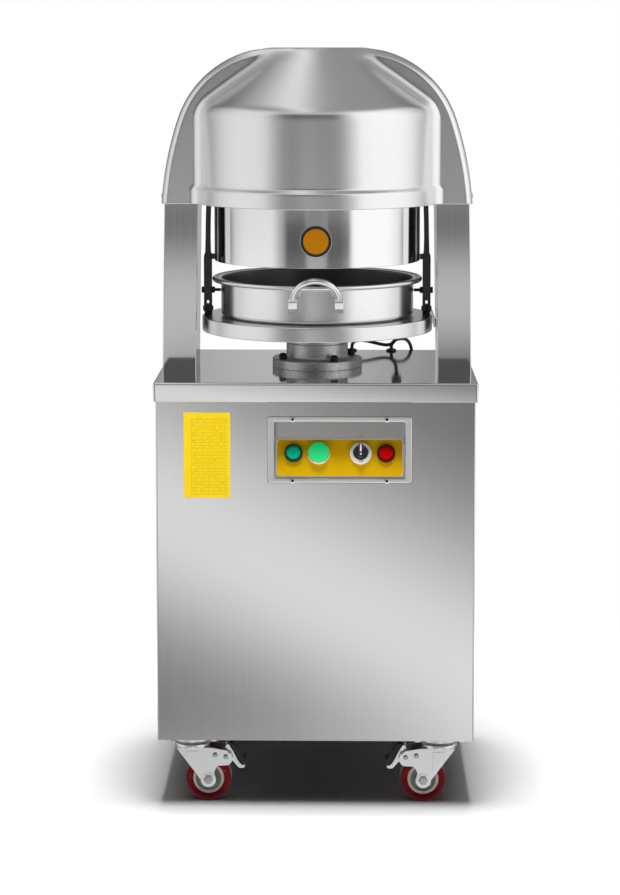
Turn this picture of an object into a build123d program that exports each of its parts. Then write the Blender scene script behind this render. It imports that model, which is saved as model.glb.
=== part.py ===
from build123d import *
import os
from math import atan2, cos, pi, radians, sin, sqrt, tan

# Electric dough divider, in millimetres. The floor is z = 0, the front faces -Y, and the
# axis of the bowl, the screw and the knife head is the Z axis.

# Cabinet sizes
worktop_depth = 420.0
worktop_top = 702.0
worktop_sheet = 2.0
worktop_lip = 31.0
worktop_edge_radius = 4.0
lip_overhang = 4.0
panel_sheet = 1.5
panel_fold_radius = 2.5
panel_seam = 0.3
front_return = 18.0
cabinet_bottom = 112.0
pan_sheet = 2.0
frame_fit = 0.4
angle_leg = 40.0
angle_wall = 4.0
deck_thickness = 10.0
bearing_plate_top = 510.0
bearing_plate_thickness = 10.0
bearing_plate_depth = 260.0
shaft_clearance = 5.0
cut_margin = 1.0

# Columns, head frame and hood
column_gap = 8.0
column_width = 56.0
column_depth = 105.0
column_sheet = 1.5
column_lean = 5.0
column_top = 1015.0
upright_gap = 4.0
upright_thickness = 30.0
upright_depth = 60.0
head_bottom = 1105.0
head_height = 37.0
head_depth = 96.0
head_corner_inset = 6.0
shoulder_height = 1068.0
hood_bottom = 980.0
hood_top = 1238.0
hood_column_gap = 0.5
hood_waist_inset = 7.2
hood_waist_height = 1040.0
hood_shoulder_inset = 27.8
hood_shoulder_height = 1121.0
hood_crown_radius = 75.0
hood_slab_depth = 126.0
hood_barrel_radius = 203.0
hood_crease_height = 1138.0
hood_sheet = 1.5
hood_band_height = 25.0
hood_band_proud = 3.5

# Guide, screw and lift
sleeve_radius = 52.0
flange_radius = 75.5
flange_thickness = 15.0
sleeve_bolt_circle_radius = 64.0
sleeve_bolt_angle = 27.0
sleeve_bolt_radius = 4.0
sleeve_bolt_head_radius = 6.5
sleeve_bolt_head = 10.0
sleeve_bolt_socket_radius = 3.4
spigot_radius = 50.0
spigot_depth = 62.0
bush_wall = 7.0
ram_radius = 38.0
ram_bore_radius = 24.0
ram_length = 173.0
ram_seat = 8.0
running_fit = 0.05
part_gap = 0.4
nut_flange = 12.0
nut_body = 30.0
screw_radius = 18.0
screw_top = 740.0
journal_radius = 15.0
journal_collar_radius = 22.0
journal_collar = 12.0
bearing_radius = 60.0
bearing_flange = 8.0
bearing_hub_radius = 36.0
bearing_height = 36.0
plate_bottom = 765.0
plate_thickness = 24.0
plate_margin = 3.0
plate_web = 12.0
plate_skirt = 10.0
plate_hub_radius = 60.0
plate_edge = 2.0

# Drive
belt_height = 11.0
belt_thickness = 9.0
groove_flank = 5.0
groove_play = 0.5
groove_floor_gap = 1.0
pulley_top = 485.0
screw_pulley_radius = 80.0
motor_pulley_radius = 35.0
motor_x = 150.0
motor_y = 20.0
motor_radius = 68.0
motor_height = 158.0
motor_shaft_radius = 10.0
motor_shaft_end = 20.0
motor_end_wall = 15.0
motor_flange = 6.0
motor_flange_thickness = 8.0
motor_fin_count = 20
motor_fin = 4.0
motor_fin_length = 110.0

# Bowl and handle
bowl_radius = 162.0
bowl_wall = 2.0
bowl_floor = 3.0
bowl_height = 66.0
bowl_corner = 8.0
rim_reach = 14.8
rim_bead = 3.5
handle_spacing = 75.0
handle_bar_radius = 5.0
handle_lean = 25.0
handle_offset = 173.0
handle_root_height = 832.0
ferrule_radius = 8.2
ferrule_length = 23.0
ferrule_tab_width = 11.5
ferrule_tab_height = 11.5

# Guard drum, arms and adjusters
drum_bowl_step = 11.0
drum_wall = 1.5
drum_bottom = 883.0
drum_height = 117.0
arm_rim_gap = 1.0
arm_bar = 4.4
arm_gap = 4.4
arm_width = 20.0
arm_foot = 794.0
arm_joint_height = 814.0
arm_joint = 78.0
arm_top = 1000.0
arm_top_shift = 3.0
arm_upper_bar = 8.0
arm_upper_width = 18.0
arm_lug_width = 13.4
bracket_height = 18.0
bracket_foot = 4.0
bracket_foot_width = 28.0
bracket_foot_inset = 1.0
bracket_play = 0.2
pin_radius = 4.0
pin_height = 800.0
pin_end = 2.0
adjuster_radius = 4.0
adjuster_height = 831.0
adjuster_gap = 0.6
hex_flats = 13.0
hex_height = 5.0

# Knives and press blocks
knife_bottom = 888.0
knife_height = 77.0
knife_thickness = 2.0
knife_bowl_gap = 3.0
knife_stop_gap = 1.5
knife_ring_counts = (6, 12, 18)
knife_plate = 10.0
block_gap = 1.0
block_recess = 2.0
block_thickness = 12.0
block_post_radius = 4.0
post_clearance = 0.5
spider_bottom = 1030.0
spider_thickness = 8.0
spider_inset = 10.0
hanger_y = 26.0
hanger_radius = 8.0
hanger_collar_radius = 11.0
spring_radius = 12.0
spring_wire = 3.0

# Control console
console_x = 39.0
console_height = 593.0
console_width = 211.0
console_opening = 92.0
bezel_border = 11.0
bezel_side_border = 8.0
bezel_thickness = 2.0
bezel_corner = 5.0
bezel_screw_inset = 29.5
recess_sheet = 1.2
recess_lip = 3.0
control_tilt = 30.0
control_length = 70.0
control_sheet = 1.5
device_row = 5.0
lamp_inset = 30.5
device_pitch = 41.0
lamp_bezel_radius = 14.75
lamp_bezel_height = 8.0
lens_radius = 11.6
lens_height = 10.0
lens_edge = 2.5
device_floor = 1.5
device_body_radius = 11.0
device_body = 42.0
collar_radius = 17.8
collar_height = 8.0
button_radius = 15.0
button_height = 13.0
button_travel = 5.0
button_edge = 1.6
knob_radius = 12.0
knob_base = 8.0
knob_grip = 12.0
knob_grip_width = 8.0
knob_grip_inset = 0.8

# Casters
caster_inset_x = 54.0
caster_inset_y = 48.0
caster_trail = 27.0
caster_plate_width = 92.0
caster_plate_depth = 64.0
caster_plate_thickness = 4.0
caster_hole_x = 73.0
caster_hole_y = 45.0
caster_bolt_radius = 4.0
caster_bolt_head = 5.0
race_radius = 32.0
race_height = 5.0
swivel_gap = 0.5
fork_race = 6.0
fork_leg = 3.0
fork_leg_half_gap = 18.0
fork_crown = 4.0
wheel_radius = 37.5
wheel_width = 30.0
tyre_thickness = 8.0
tyre_crown = 3.0
axle_radius = 5.0
axle_head_radius = 9.0
axle_head = 5.0
axle_eye_radius = 13.0
race_overlap = 3.0
hub_boss_radius = 12.0
hub_dish = 6.0
hub_edge = 3.0
tyre_fit = 0.05
fork_heel = 26.0
fork_throat = 9.0
fork_throat_rise = 14.5
fork_arm_root = 14.0
fork_arm_rise = 23.5
fork_arm_back = 4.5
fork_arm_top = 8.0
fork_nose = 8.5
fork_nose_drop = 5.0
fork_rivet_back = 23.1
rivet_head = 1.2
pedal_width = 28.0
pedal_pin_radius = 4.0
pedal_pin_trail = 61.5
pedal_pin_height = 79.0
# Side view of the pedal, counted from its pin: pad, lip, and the shoe that nears the tyre
pedal_profile = (
    (-7.0, -5.0),
    (-6.0, 15.0),
    (6.0, 17.0),
    (17.0, 3.0),
    (28.0, -8.0),
    (26.0, -18.0),
    (24.0, -23.0),
    (16.0, -24.0),
    (8.0, -15.0),
    (3.0, -9.0),
    (-3.0, -16.8),
)

# Cables, glands and switch
cable_radius = 3.0
grommet_radius = 9.0
grommet_height = 4.0
grommet_neck_radius = 6.0
hole_clearance = 0.3
cable_hole_radius = 10.0
grommet_inset = 17.0
sensor_grommet_x = 59.0
rear_grommet_x = 129.0
rear_gland_x = 168.0
rear_gland_height = 648.0
rear_gland_length = 4.0
gland_x = -30.0
gland_inset = 70.0
gland_hex = 27.0
gland_drop = 20.0
gland_bore_radius = 5.5
gland_neck_radius = 10.0
gland_neck = 12.0
switch_x = 138.0
switch_y = 165.0
switch_bottom = 745.0
switch_size = (18.0, 16.0, 50.0)
strap_sheet = 3.0
strap_bottom = 765.0
strap_height = 14.0
strap_start = 20.0
switch_gland_radius = 5.0
switch_gland_drop = 6.0

# Screws and the electrical box
screw_head_radius = 3.8
screw_head_height = 1.9
screw_shank_radius = 1.9
screw_shank = 8.0
screw_hole_radius = 2.2
back_screw_inset = 22.0
back_screw_levels = (150.0, 320.0, 490.0, 655.0)
hood_screw_y = 38.0
hood_screw_height = 992.0
box_frame_gap = 5.0
box_size = (140.0, 150.0, 210.0)
box_wall = 2.0
contactor_count = 2
contactor_size = (45.0, 80.0, 75.0)
contactor_gap = 15.0
contactor_level = 200.0
louvre_width = 90.0
louvre_height = 6.0
louvre_pitch = 16.0
louvre_rows = 8
louvre_spacing = 150.0
louvre_level = 300.0

# Places that follow from the sizes, from the bowl outwards to the cabinet
rim_radius = bowl_radius + rim_reach
drum_radius = bowl_radius + drum_bowl_step
knife_radius = bowl_radius - bowl_wall - knife_bowl_gap - knife_thickness / 2
spider_radius = knife_radius - spider_inset
arm_inner = rim_radius + arm_rim_gap
arm_outer = arm_inner + 2 * arm_bar + arm_gap
plate_radius = arm_outer + plate_margin
column_inner = plate_radius + column_gap
column_outer = column_inner + column_width
upright_inner = column_inner + upright_gap
upright_outer = upright_inner + upright_thickness
head_half_width = upright_inner - head_corner_inset
hood_half_width = column_outer + hood_column_gap
hood_waist_half_width = hood_half_width - hood_waist_inset
hood_shoulder_half_width = hood_half_width - hood_shoulder_inset
worktop_width = 2 * (column_outer + lip_overhang)
panel_x = worktop_width / 2 - lip_overhang
panel_y = worktop_depth / 2 - lip_overhang
inner_x = panel_x - panel_sheet
inner_y = panel_y - panel_sheet
frame_x = inner_x - frame_fit
frame_y = inner_y - frame_fit
sheet_under = worktop_top - worktop_sheet
lip_bottom = worktop_top - worktop_lip
deck_under = sheet_under - deck_thickness
pan_top = cabinet_bottom + pan_sheet
rail_level = bearing_plate_top - bearing_plate_thickness
caster_x = panel_x - caster_inset_x
caster_y = panel_y - caster_inset_y
grommet_y = worktop_depth / 2 - grommet_inset
gland_y = worktop_depth / 2 - gland_inset
box_corner = (
    -frame_x + angle_leg + box_frame_gap,
    frame_y - angle_leg - box_frame_gap - box_size[1],
)
plate_top = plate_bottom + plate_thickness
sleeve_top = plate_bottom - part_gap
bush_outer = ram_radius + running_fit + bush_wall
sleeve_bottom = worktop_top - spigot_depth
ram_top = plate_bottom + ram_seat
ram_bottom = ram_top - ram_length
bowl_base = plate_top
bowl_floor_top = bowl_base + bowl_floor
bowl_rim_top = bowl_base + bowl_height
lift_travel = knife_bottom - knife_stop_gap - bowl_floor_top
knife_top = knife_bottom + knife_height
knife_plate_top = knife_top + knife_plate
block_bottom = knife_bottom + block_recess
block_top = block_bottom + block_thickness
spider_top = spider_bottom + spider_thickness
front_face = -panel_y
recess_bottom = console_height - console_opening / 2
recess_top = console_height + console_opening / 2
slant_front = front_face + recess_lip
slant_back = slant_front + control_length * sin(radians(control_tilt))
slant_top = recess_bottom + control_length * cos(radians(control_tilt))
pulley_bottom = pulley_top - belt_height - 2 * groove_flank
groove_depth = belt_thickness + groove_floor_gap
caster_plate_bottom = cabinet_bottom - caster_plate_thickness
race_bottom = caster_plate_bottom - race_height
fork_top = race_bottom - swivel_gap
crown_top = fork_top - fork_race
hood_shoulder_lean = atan2(
    hood_waist_half_width - hood_shoulder_half_width, hood_shoulder_height - hood_waist_height
)
hood_cone_slope = atan2(hood_top - hood_crease_height, hood_barrel_radius - hood_crown_radius)
piece_count = sum(knife_ring_counts)
ring_shares = [sum(knife_ring_counts[: n + 1]) / piece_count for n in range(len(knife_ring_counts))]
ring_radii = [knife_radius * sqrt(share) for share in ring_shares]
ring_starts = [0.0] + ring_radii[:-1]
hanger_x = ring_radii[1]
hanger_places = [(sx * hanger_x, sy * hanger_y) for sx in (-1, 1) for sy in (-1, 1)]
lamp_offset = console_width / 2 - lamp_inset
operator_offset = lamp_offset - device_pitch
bezel_screw_x = console_width / 2 - bezel_screw_inset
bezel_screw_z = console_opening / 2 + bezel_side_border / 2
console_screws = [
    (console_x + sx * bezel_screw_x, console_height + sz * bezel_screw_z) for sx in (-1, 1) for sz in (-1, 1)
]
back_screws = [(sx * (frame_x - back_screw_inset), z) for sx in (-1, 1) for z in back_screw_levels]

os.makedirs("parts", exist_ok=True)
print("worktop", worktop_width, "x", worktop_depth, "lift travel", lift_travel, "hangers at", hanger_x)


def block(low, high, mode=Mode.ADD):
    """A box between two opposite corners, in the part that is being built."""
    middle = tuple((a + b) / 2 for a, b in zip(low, high))
    size = tuple(abs(b - a) for a, b in zip(low, high))
    with Locations(middle):
        Box(*size, mode=mode)


def rod(start, direction, radius, length, mode=Mode.ADD):
    """A round bar from its start along a direction, in the part that is being built."""
    with Locations(Plane(origin=start, z_dir=direction)):
        Cylinder(radius, length, align=(Align.CENTER, Align.CENTER, Align.MIN), mode=mode)


def turned(points, mode=Mode.ADD):
    """A body turned about the Z axis from a profile of (radius, height) points."""
    with BuildSketch(Plane.XZ) as profile:
        Polygon(*points, align=None)
    revolve(profile.sketch, axis=Axis.Z, mode=mode)


def save(piece, name):
    """Label the finished piece and write it to its own file."""
    piece.part.label = name
    export_step(piece.part, f"parts/{name}.step")


# Base frame of welded angle steel, with the bearing plate on its middle rails
with BuildPart() as base_frame:
    for sx in (-1, 1):
        for sy in (-1, 1):
            corner = (sx * frame_x, sy * frame_y, pan_top)
            block(corner, (sx * (frame_x - angle_leg), sy * (frame_y - angle_wall), deck_under))
            block(corner, (sx * (frame_x - angle_wall), sy * (frame_y - angle_leg), deck_under))
    for level, way in ((pan_top, 1), (deck_under, -1)):
        tall = level + way * angle_leg
        flat = level + way * angle_wall
        for side in (-1, 1):
            block((-frame_x, side * frame_y, level), (frame_x, side * (frame_y - angle_wall), tall))
            block((-frame_x, side * frame_y, level), (frame_x, side * (frame_y - angle_leg), flat))
            block((side * frame_x, -frame_y, level), (side * (frame_x - angle_wall), frame_y, tall))
            block((side * frame_x, -frame_y, level), (side * (frame_x - angle_leg), frame_y, flat))
    for side in (-1, 1):
        start = (side * frame_x, -frame_y, rail_level)
        block(start, (side * (frame_x - angle_wall), frame_y, rail_level - angle_leg))
        block(start, (side * (frame_x - angle_leg), frame_y, rail_level - angle_wall))
    half_plate = bearing_plate_depth / 2
    block((-frame_x, -half_plate, rail_level), (frame_x, half_plate, bearing_plate_top))
    for place, radius in (((0, 0), journal_radius), ((motor_x, motor_y), motor_shaft_radius)):
        rod((*place, rail_level), (0, 0, 1), radius + shaft_clearance, bearing_plate_thickness, Mode.SUBTRACT)
    for x, z in back_screws:
        rod((x, frame_y, z), (0, -1, 0), screw_hole_radius, angle_wall, Mode.SUBTRACT)
save(base_frame, "base_frame")

# Bottom pan with the hole for the mains gland
with BuildPart() as base_pan:
    block((-frame_x, -frame_y, cabinet_bottom), (frame_x, frame_y, pan_top))
    gland_hole = gland_neck_radius + hole_clearance
    rod((gland_x, gland_y, cabinet_bottom), (0, 0, 1), gland_hole, pan_sheet, Mode.SUBTRACT)
    for sx in (-1, 1):
        for sy in (-1, 1):
            with Locations((sx * caster_x, sy * caster_y, cabinet_bottom)):
                with GridLocations(caster_hole_x, caster_hole_y, 2, 2):
                    Cylinder(caster_bolt_radius + hole_clearance, 2 * pan_sheet, mode=Mode.SUBTRACT)
save(base_pan, "base_pan")

# Front panel, folded round both front corners, with the console opening
with BuildPart() as front_panel:
    with BuildSketch(Plane.XY.offset(cabinet_bottom)):
        RectangleRounded(2 * panel_x, 2 * panel_y, panel_fold_radius)
        RectangleRounded(2 * inner_x, 2 * inner_y, panel_fold_radius - panel_sheet, mode=Mode.SUBTRACT)
        with Locations((0, front_return)):
            Rectangle(2 * worktop_width, 2 * panel_y, mode=Mode.SUBTRACT)
    extrude(amount=sheet_under - cabinet_bottom)
    half_opening = console_width / 2 + recess_sheet + hole_clearance
    opening_low = recess_bottom - recess_sheet - hole_clearance
    opening_high = recess_top + recess_sheet + hole_clearance
    block(
        (console_x - half_opening, front_face - cut_margin, opening_low),
        (console_x + half_opening, front_face + front_return, opening_high),
        Mode.SUBTRACT,
    )
    for x, z in console_screws:
        rod((x, front_face, z), (0, 1, 0), screw_hole_radius, panel_sheet, Mode.SUBTRACT)
save(front_panel, "front_panel")

# Side panels, from the front fold to the back panel
with BuildPart() as side_panels:
    block(
        (inner_x, front_face + front_return + panel_seam, cabinet_bottom),
        (panel_x, inner_y - panel_seam, sheet_under),
    )
    mirror(about=Plane.YZ)
save(side_panels, "side_panels")

# Back panel with louvre slots, screw holes and the rear cable's hole
with BuildPart() as back_panel:
    block((-panel_x, inner_y, cabinet_bottom), (panel_x, panel_y, sheet_under))
    with BuildSketch(Plane.XZ.offset(-panel_y)):
        with Locations((0, louvre_level)):
            with GridLocations(louvre_spacing, louvre_pitch, 2, louvre_rows):
                SlotOverall(louvre_width, louvre_height)
    extrude(amount=panel_sheet, mode=Mode.SUBTRACT)
    for x, z in back_screws:
        rod((x, panel_y, z), (0, -1, 0), screw_hole_radius, panel_sheet, Mode.SUBTRACT)
    rod(
        (rear_gland_x, panel_y, rear_gland_height),
        (0, -1, 0),
        grommet_neck_radius + hole_clearance,
        panel_sheet,
        Mode.SUBTRACT,
    )
save(back_panel, "back_panel")

# Worktop, a folded tray with slots for the uprights and holes for sleeve and cables
with BuildPart() as worktop:
    half = (worktop_width / 2, worktop_depth / 2)
    block((-half[0], -half[1], lip_bottom), (half[0], half[1], worktop_top))
    fillet(worktop.edges().filter_by(Axis.Z), worktop_edge_radius)
    fillet(worktop.faces().sort_by(Axis.Z)[-1].edges(), worktop_edge_radius)
    block(
        (-half[0] + worktop_sheet, -half[1] + worktop_sheet, lip_bottom),
        (half[0] - worktop_sheet, half[1] - worktop_sheet, sheet_under),
        Mode.SUBTRACT,
    )
    rod((0, 0, sheet_under), (0, 0, 1), spigot_radius + hole_clearance, worktop_sheet, Mode.SUBTRACT)
    for side in (-1, 1):
        block(
            (side * (upright_inner - hole_clearance), -upright_depth / 2 - hole_clearance, sheet_under),
            (side * (upright_outer + hole_clearance), upright_depth / 2 + hole_clearance, worktop_top),
            Mode.SUBTRACT,
        )
    for x in (sensor_grommet_x, rear_grommet_x):
        rod(
            (x, grommet_y, sheet_under),
            (0, 0, 1),
            grommet_neck_radius + hole_clearance,
            worktop_sheet,
            Mode.SUBTRACT,
        )
    with Locations((0, 0, sheet_under)):
        with PolarLocations(sleeve_bolt_circle_radius, 4, start_angle=sleeve_bolt_angle):
            Cylinder(sleeve_bolt_radius + hole_clearance, 3 * worktop_sheet, mode=Mode.SUBTRACT)
save(worktop, "worktop")

# Deck plate under the worktop
with BuildPart() as deck_plate:
    block((-frame_x, -frame_y, deck_under), (frame_x, frame_y, sheet_under))
    rod((0, 0, deck_under), (0, 0, 1), spigot_radius + hole_clearance, deck_thickness, Mode.SUBTRACT)
    for x in (sensor_grommet_x, rear_grommet_x):
        rod((x, grommet_y, deck_under), (0, 0, 1), cable_hole_radius, deck_thickness, Mode.SUBTRACT)
    with Locations((0, 0, deck_under)):
        with PolarLocations(sleeve_bolt_circle_radius, 4, start_angle=sleeve_bolt_angle):
            Cylinder(sleeve_bolt_radius + hole_clearance, 3 * deck_thickness, mode=Mode.SUBTRACT)
save(deck_plate, "deck_plate")

# Head frame: two uprights inside the columns and the beam that carries the knife head
with BuildPart() as head_frame:
    for side in (-1, 1):
        block(
            (side * upright_inner, -upright_depth / 2, sheet_under),
            (side * upright_outer, upright_depth / 2, shoulder_height),
        )
    with BuildSketch(Plane.XZ):
        Polygon(
            (-upright_outer, shoulder_height - upright_thickness),
            (-upright_outer, shoulder_height),
            (-head_half_width, head_bottom + head_height),
            (head_half_width, head_bottom + head_height),
            (upright_outer, shoulder_height),
            (upright_outer, shoulder_height - upright_thickness),
            (upright_inner, shoulder_height - upright_thickness),
            (upright_inner, head_bottom),
            (-upright_inner, head_bottom),
            (-upright_inner, shoulder_height - upright_thickness),
            align=None,
        )
    extrude(amount=head_depth / 2, both=True)
save(head_frame, "head_frame")

# Columns, leaning boxes of folded sheet round the uprights
with BuildPart() as right_column:
    with BuildSketch(Plane.XZ):
        Polygon(
            (column_inner, worktop_top),
            (column_outer, worktop_top),
            (column_outer - column_lean, column_top),
            (column_inner - column_lean, column_top),
            align=None,
        )
    extrude(amount=column_depth / 2, both=True)
    fillet(right_column.edges().filter_by(Axis.Z, tolerance=2), column_sheet)
    with BuildSketch(Plane.XZ):
        Polygon(
            (column_inner + column_sheet, worktop_top),
            (column_outer - column_sheet, worktop_top),
            (column_outer - column_sheet - column_lean, column_top),
            (column_inner + column_sheet - column_lean, column_top),
            align=None,
        )
    extrude(amount=column_depth / 2 - column_sheet, both=True, mode=Mode.SUBTRACT)
    for side in (-1, 1):
        rod(
            (column_outer, side * hood_screw_y, hood_screw_height),
            (-1, 0, 0),
            screw_hole_radius,
            column_width / 2,
            Mode.SUBTRACT,
        )
save(right_column, "right_column")

with BuildPart() as left_column:
    mirror(right_column.part, about=Plane.YZ)
save(left_column, "left_column")


def hood_form(grow, top, depth):
    """Arch slab and round barrel with its cone, each grown outwards by one amount."""
    with BuildSketch(Plane.XZ) as arch:
        with BuildLine():
            flank = ThreePointArc(
                (hood_half_width + grow, hood_bottom),
                (hood_waist_half_width + grow, hood_waist_height),
                (
                    hood_shoulder_half_width + grow * cos(hood_shoulder_lean),
                    hood_shoulder_height + grow * sin(hood_shoulder_lean),
                ),
            )
            crown = TangentArc(flank @ 1, (hood_crown_radius, top), tangent=flank % 1)
            Line(crown @ 1, (0, top))
            Line((0, top), (0, hood_bottom))
            Line((0, hood_bottom), flank @ 0)
        make_face()
        mirror(about=Plane.YZ)
    extrude(arch.sketch, amount=depth / 2, both=True)
    turned(
        [
            (0, hood_bottom),
            (hood_barrel_radius + grow, hood_bottom),
            (hood_barrel_radius + grow, hood_crease_height + grow * tan(hood_cone_slope / 2)),
            (hood_crown_radius, top),
            (0, top),
        ]
    )


# Hood, a pressed shell: arch slab, barrel, cone and a prouder band along its bottom edge
with BuildPart() as hood_space:
    hood_form(-hood_sheet, hood_top - hood_sheet, hood_slab_depth - 2 * hood_sheet)

with BuildPart() as hood_band:
    hood_form(hood_band_proud, hood_top, hood_slab_depth + 2 * hood_band_proud)
    split(bisect_by=Plane.XY.offset(hood_bottom + hood_band_height), keep=Keep.BOTTOM)

with BuildPart() as hood:
    hood_form(0, hood_top, hood_slab_depth)
    add(hood_band.part)
    add(hood_space.part, mode=Mode.SUBTRACT)
    for side in (-1, 1):
        for way in (-1, 1):
            rod(
                (way * (hood_half_width + 2 * hood_band_proud), side * hood_screw_y, hood_screw_height),
                (-way, 0, 0),
                screw_hole_radius,
                column_width,
                Mode.SUBTRACT,
            )
save(hood, "hood")

# Guide sleeve, a flanged casting standing on the worktop with a spigot through the deck
with BuildPart() as guide_sleeve:
    turned(
        [
            (bush_outer, sleeve_bottom),
            (spigot_radius, sleeve_bottom),
            (spigot_radius, worktop_top),
            (flange_radius, worktop_top),
            (flange_radius, worktop_top + flange_thickness),
            (sleeve_radius, worktop_top + flange_thickness),
            (sleeve_radius, sleeve_top),
            (bush_outer, sleeve_top),
        ]
    )
    with Locations((0, 0, worktop_top + flange_thickness / 2)):
        with PolarLocations(sleeve_bolt_circle_radius, 4, start_angle=sleeve_bolt_angle):
            Cylinder(sleeve_bolt_radius + hole_clearance, flange_thickness, mode=Mode.SUBTRACT)
save(guide_sleeve, "guide_sleeve")

# Cap screws of the sleeve's flange, into the deck plate
with BuildPart() as sleeve_bolts:
    with Locations((0, 0, worktop_top + flange_thickness)):
        with PolarLocations(sleeve_bolt_circle_radius, 4, start_angle=sleeve_bolt_angle):
            Cylinder(sleeve_bolt_head_radius, sleeve_bolt_head, align=(Align.CENTER, Align.CENTER, Align.MIN))
            Cylinder(
                sleeve_bolt_radius,
                flange_thickness + worktop_sheet + deck_thickness,
                align=(Align.CENTER, Align.CENTER, Align.MAX),
            )
    with BuildSketch(Plane.XY.offset(worktop_top + flange_thickness + sleeve_bolt_head)):
        with PolarLocations(sleeve_bolt_circle_radius, 4, start_angle=sleeve_bolt_angle):
            RegularPolygon(sleeve_bolt_socket_radius, 6)
    extrude(amount=-sleeve_bolt_head / 2, mode=Mode.SUBTRACT)
save(sleeve_bolts, "sleeve_bolts")

# Bronze bush in the sleeve
with BuildPart() as guide_bush:
    turned(
        [
            (ram_radius + running_fit, sleeve_bottom),
            (bush_outer, sleeve_bottom),
            (bush_outer, sleeve_top),
            (ram_radius + running_fit, sleeve_top),
        ]
    )
save(guide_bush, "guide_bush")

# Ram, a hollow column that carries the lift plate
with BuildPart() as ram:
    turned(
        [
            (ram_bore_radius, ram_bottom),
            (ram_radius, ram_bottom),
            (ram_radius, ram_top),
            (ram_bore_radius, ram_top),
        ]
    )
save(ram, "ram")

# Bronze nut in the bottom of the ram
with BuildPart() as screw_nut:
    turned(
        [
            (screw_radius + running_fit, ram_bottom - nut_flange),
            (ram_radius - part_gap, ram_bottom - nut_flange),
            (ram_radius - part_gap, ram_bottom),
            (ram_bore_radius, ram_bottom),
            (ram_bore_radius, ram_bottom + nut_body),
            (screw_radius + running_fit, ram_bottom + nut_body),
        ]
    )
save(screw_nut, "screw_nut")

# Lift plate: flat top, skirt and a hub that sits on the ram
with BuildPart() as lift_plate:
    turned(
        [
            (0, ram_top),
            (ram_radius, ram_top),
            (ram_radius, plate_bottom),
            (plate_hub_radius, plate_bottom),
            (plate_hub_radius, plate_top - plate_web),
            (plate_radius - plate_skirt, plate_top - plate_web),
            (plate_radius - plate_skirt, plate_bottom),
            (plate_radius, plate_bottom),
            (plate_radius, plate_top - plate_edge),
            (plate_radius - plate_edge, plate_top),
            (0, plate_top),
        ]
    )
save(lift_plate, "lift_plate")

# Lead screw: threaded length, collar and the journal that runs down to its pulley
with BuildPart() as lead_screw:
    collar_bottom = bearing_plate_top + bearing_height + part_gap
    turned(
        [
            (0, pulley_bottom),
            (journal_radius, pulley_bottom),
            (journal_radius, collar_bottom),
            (journal_collar_radius, collar_bottom),
            (journal_collar_radius, collar_bottom + journal_collar),
            (screw_radius, collar_bottom + journal_collar),
            (screw_radius, screw_top),
            (0, screw_top),
        ]
    )
save(lead_screw, "lead_screw")

# Flanged bearing housing on the bearing plate
with BuildPart() as bearing_housing:
    turned(
        [
            (journal_radius + running_fit, bearing_plate_top),
            (bearing_radius, bearing_plate_top),
            (bearing_radius, bearing_plate_top + bearing_flange),
            (bearing_hub_radius, bearing_plate_top + bearing_flange),
            (bearing_hub_radius, bearing_plate_top + bearing_height),
            (journal_radius + running_fit, bearing_plate_top + bearing_height),
        ]
    )
save(bearing_housing, "bearing_housing")


def pulley_profile(outer, bore):
    """Profile of a flat-bottomed groove between two flanges."""
    lower = pulley_bottom + groove_flank - groove_play
    upper = pulley_top - groove_flank + groove_play
    return [
        (bore, pulley_bottom),
        (outer, pulley_bottom),
        (outer, lower),
        (outer - groove_depth, lower),
        (outer - groove_depth, upper),
        (outer, upper),
        (outer, pulley_top),
        (bore, pulley_top),
    ]


# Screw pulley on the journal
with BuildPart() as screw_pulley:
    turned(pulley_profile(screw_pulley_radius, journal_radius))
save(screw_pulley, "screw_pulley")

# Motor pulley with the rotor shaft
with BuildPart() as motor_pulley_blank:
    turned(pulley_profile(motor_pulley_radius, motor_shaft_radius))
    shaft_top = bearing_plate_top + motor_height - motor_shaft_end
    rod((0, 0, pulley_bottom), (0, 0, 1), motor_shaft_radius, shaft_top - pulley_bottom)

with BuildPart() as motor_pulley:
    with Locations((motor_x, motor_y, 0)):
        add(motor_pulley_blank.part)
save(motor_pulley, "motor_pulley")

# V-belt round both pulleys
with BuildPart() as v_belt:
    belt_bottom = pulley_bottom + groove_flank
    inner_screw = screw_pulley_radius - groove_depth + part_gap
    inner_motor = motor_pulley_radius - groove_depth + part_gap
    with BuildSketch(Plane.XY.offset(belt_bottom)):
        for grow, mode in ((belt_thickness, Mode.ADD), (0.0, Mode.SUBTRACT)):
            with BuildSketch(Plane.XY.offset(belt_bottom), mode=Mode.PRIVATE) as loop:
                Circle(inner_screw + grow)
                with Locations((motor_x, motor_y)):
                    Circle(inner_motor + grow)
                make_hull()
            add(loop.sketch, mode=mode)
    extrude(amount=belt_height)
save(v_belt, "v_belt")

# Motor with cooling fins, standing on the bearing plate
with BuildPart() as motor:
    motor_foot = (motor_x, motor_y, bearing_plate_top)
    rod(motor_foot, (0, 0, 1), motor_radius - motor_fin, motor_height)
    with Locations((motor_x, motor_y, bearing_plate_top + motor_height / 2)):
        with PolarLocations(motor_radius - motor_fin, motor_fin_count):
            Box(2 * motor_fin, motor_fin, motor_fin_length)
    rod(motor_foot, (0, 0, 1), motor_radius + motor_flange, motor_flange_thickness)
    shaft_bore = motor_shaft_radius + running_fit
    rod(motor_foot, (0, 0, 1), shaft_bore, motor_height - motor_end_wall, Mode.SUBTRACT)
save(motor, "motor")

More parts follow.
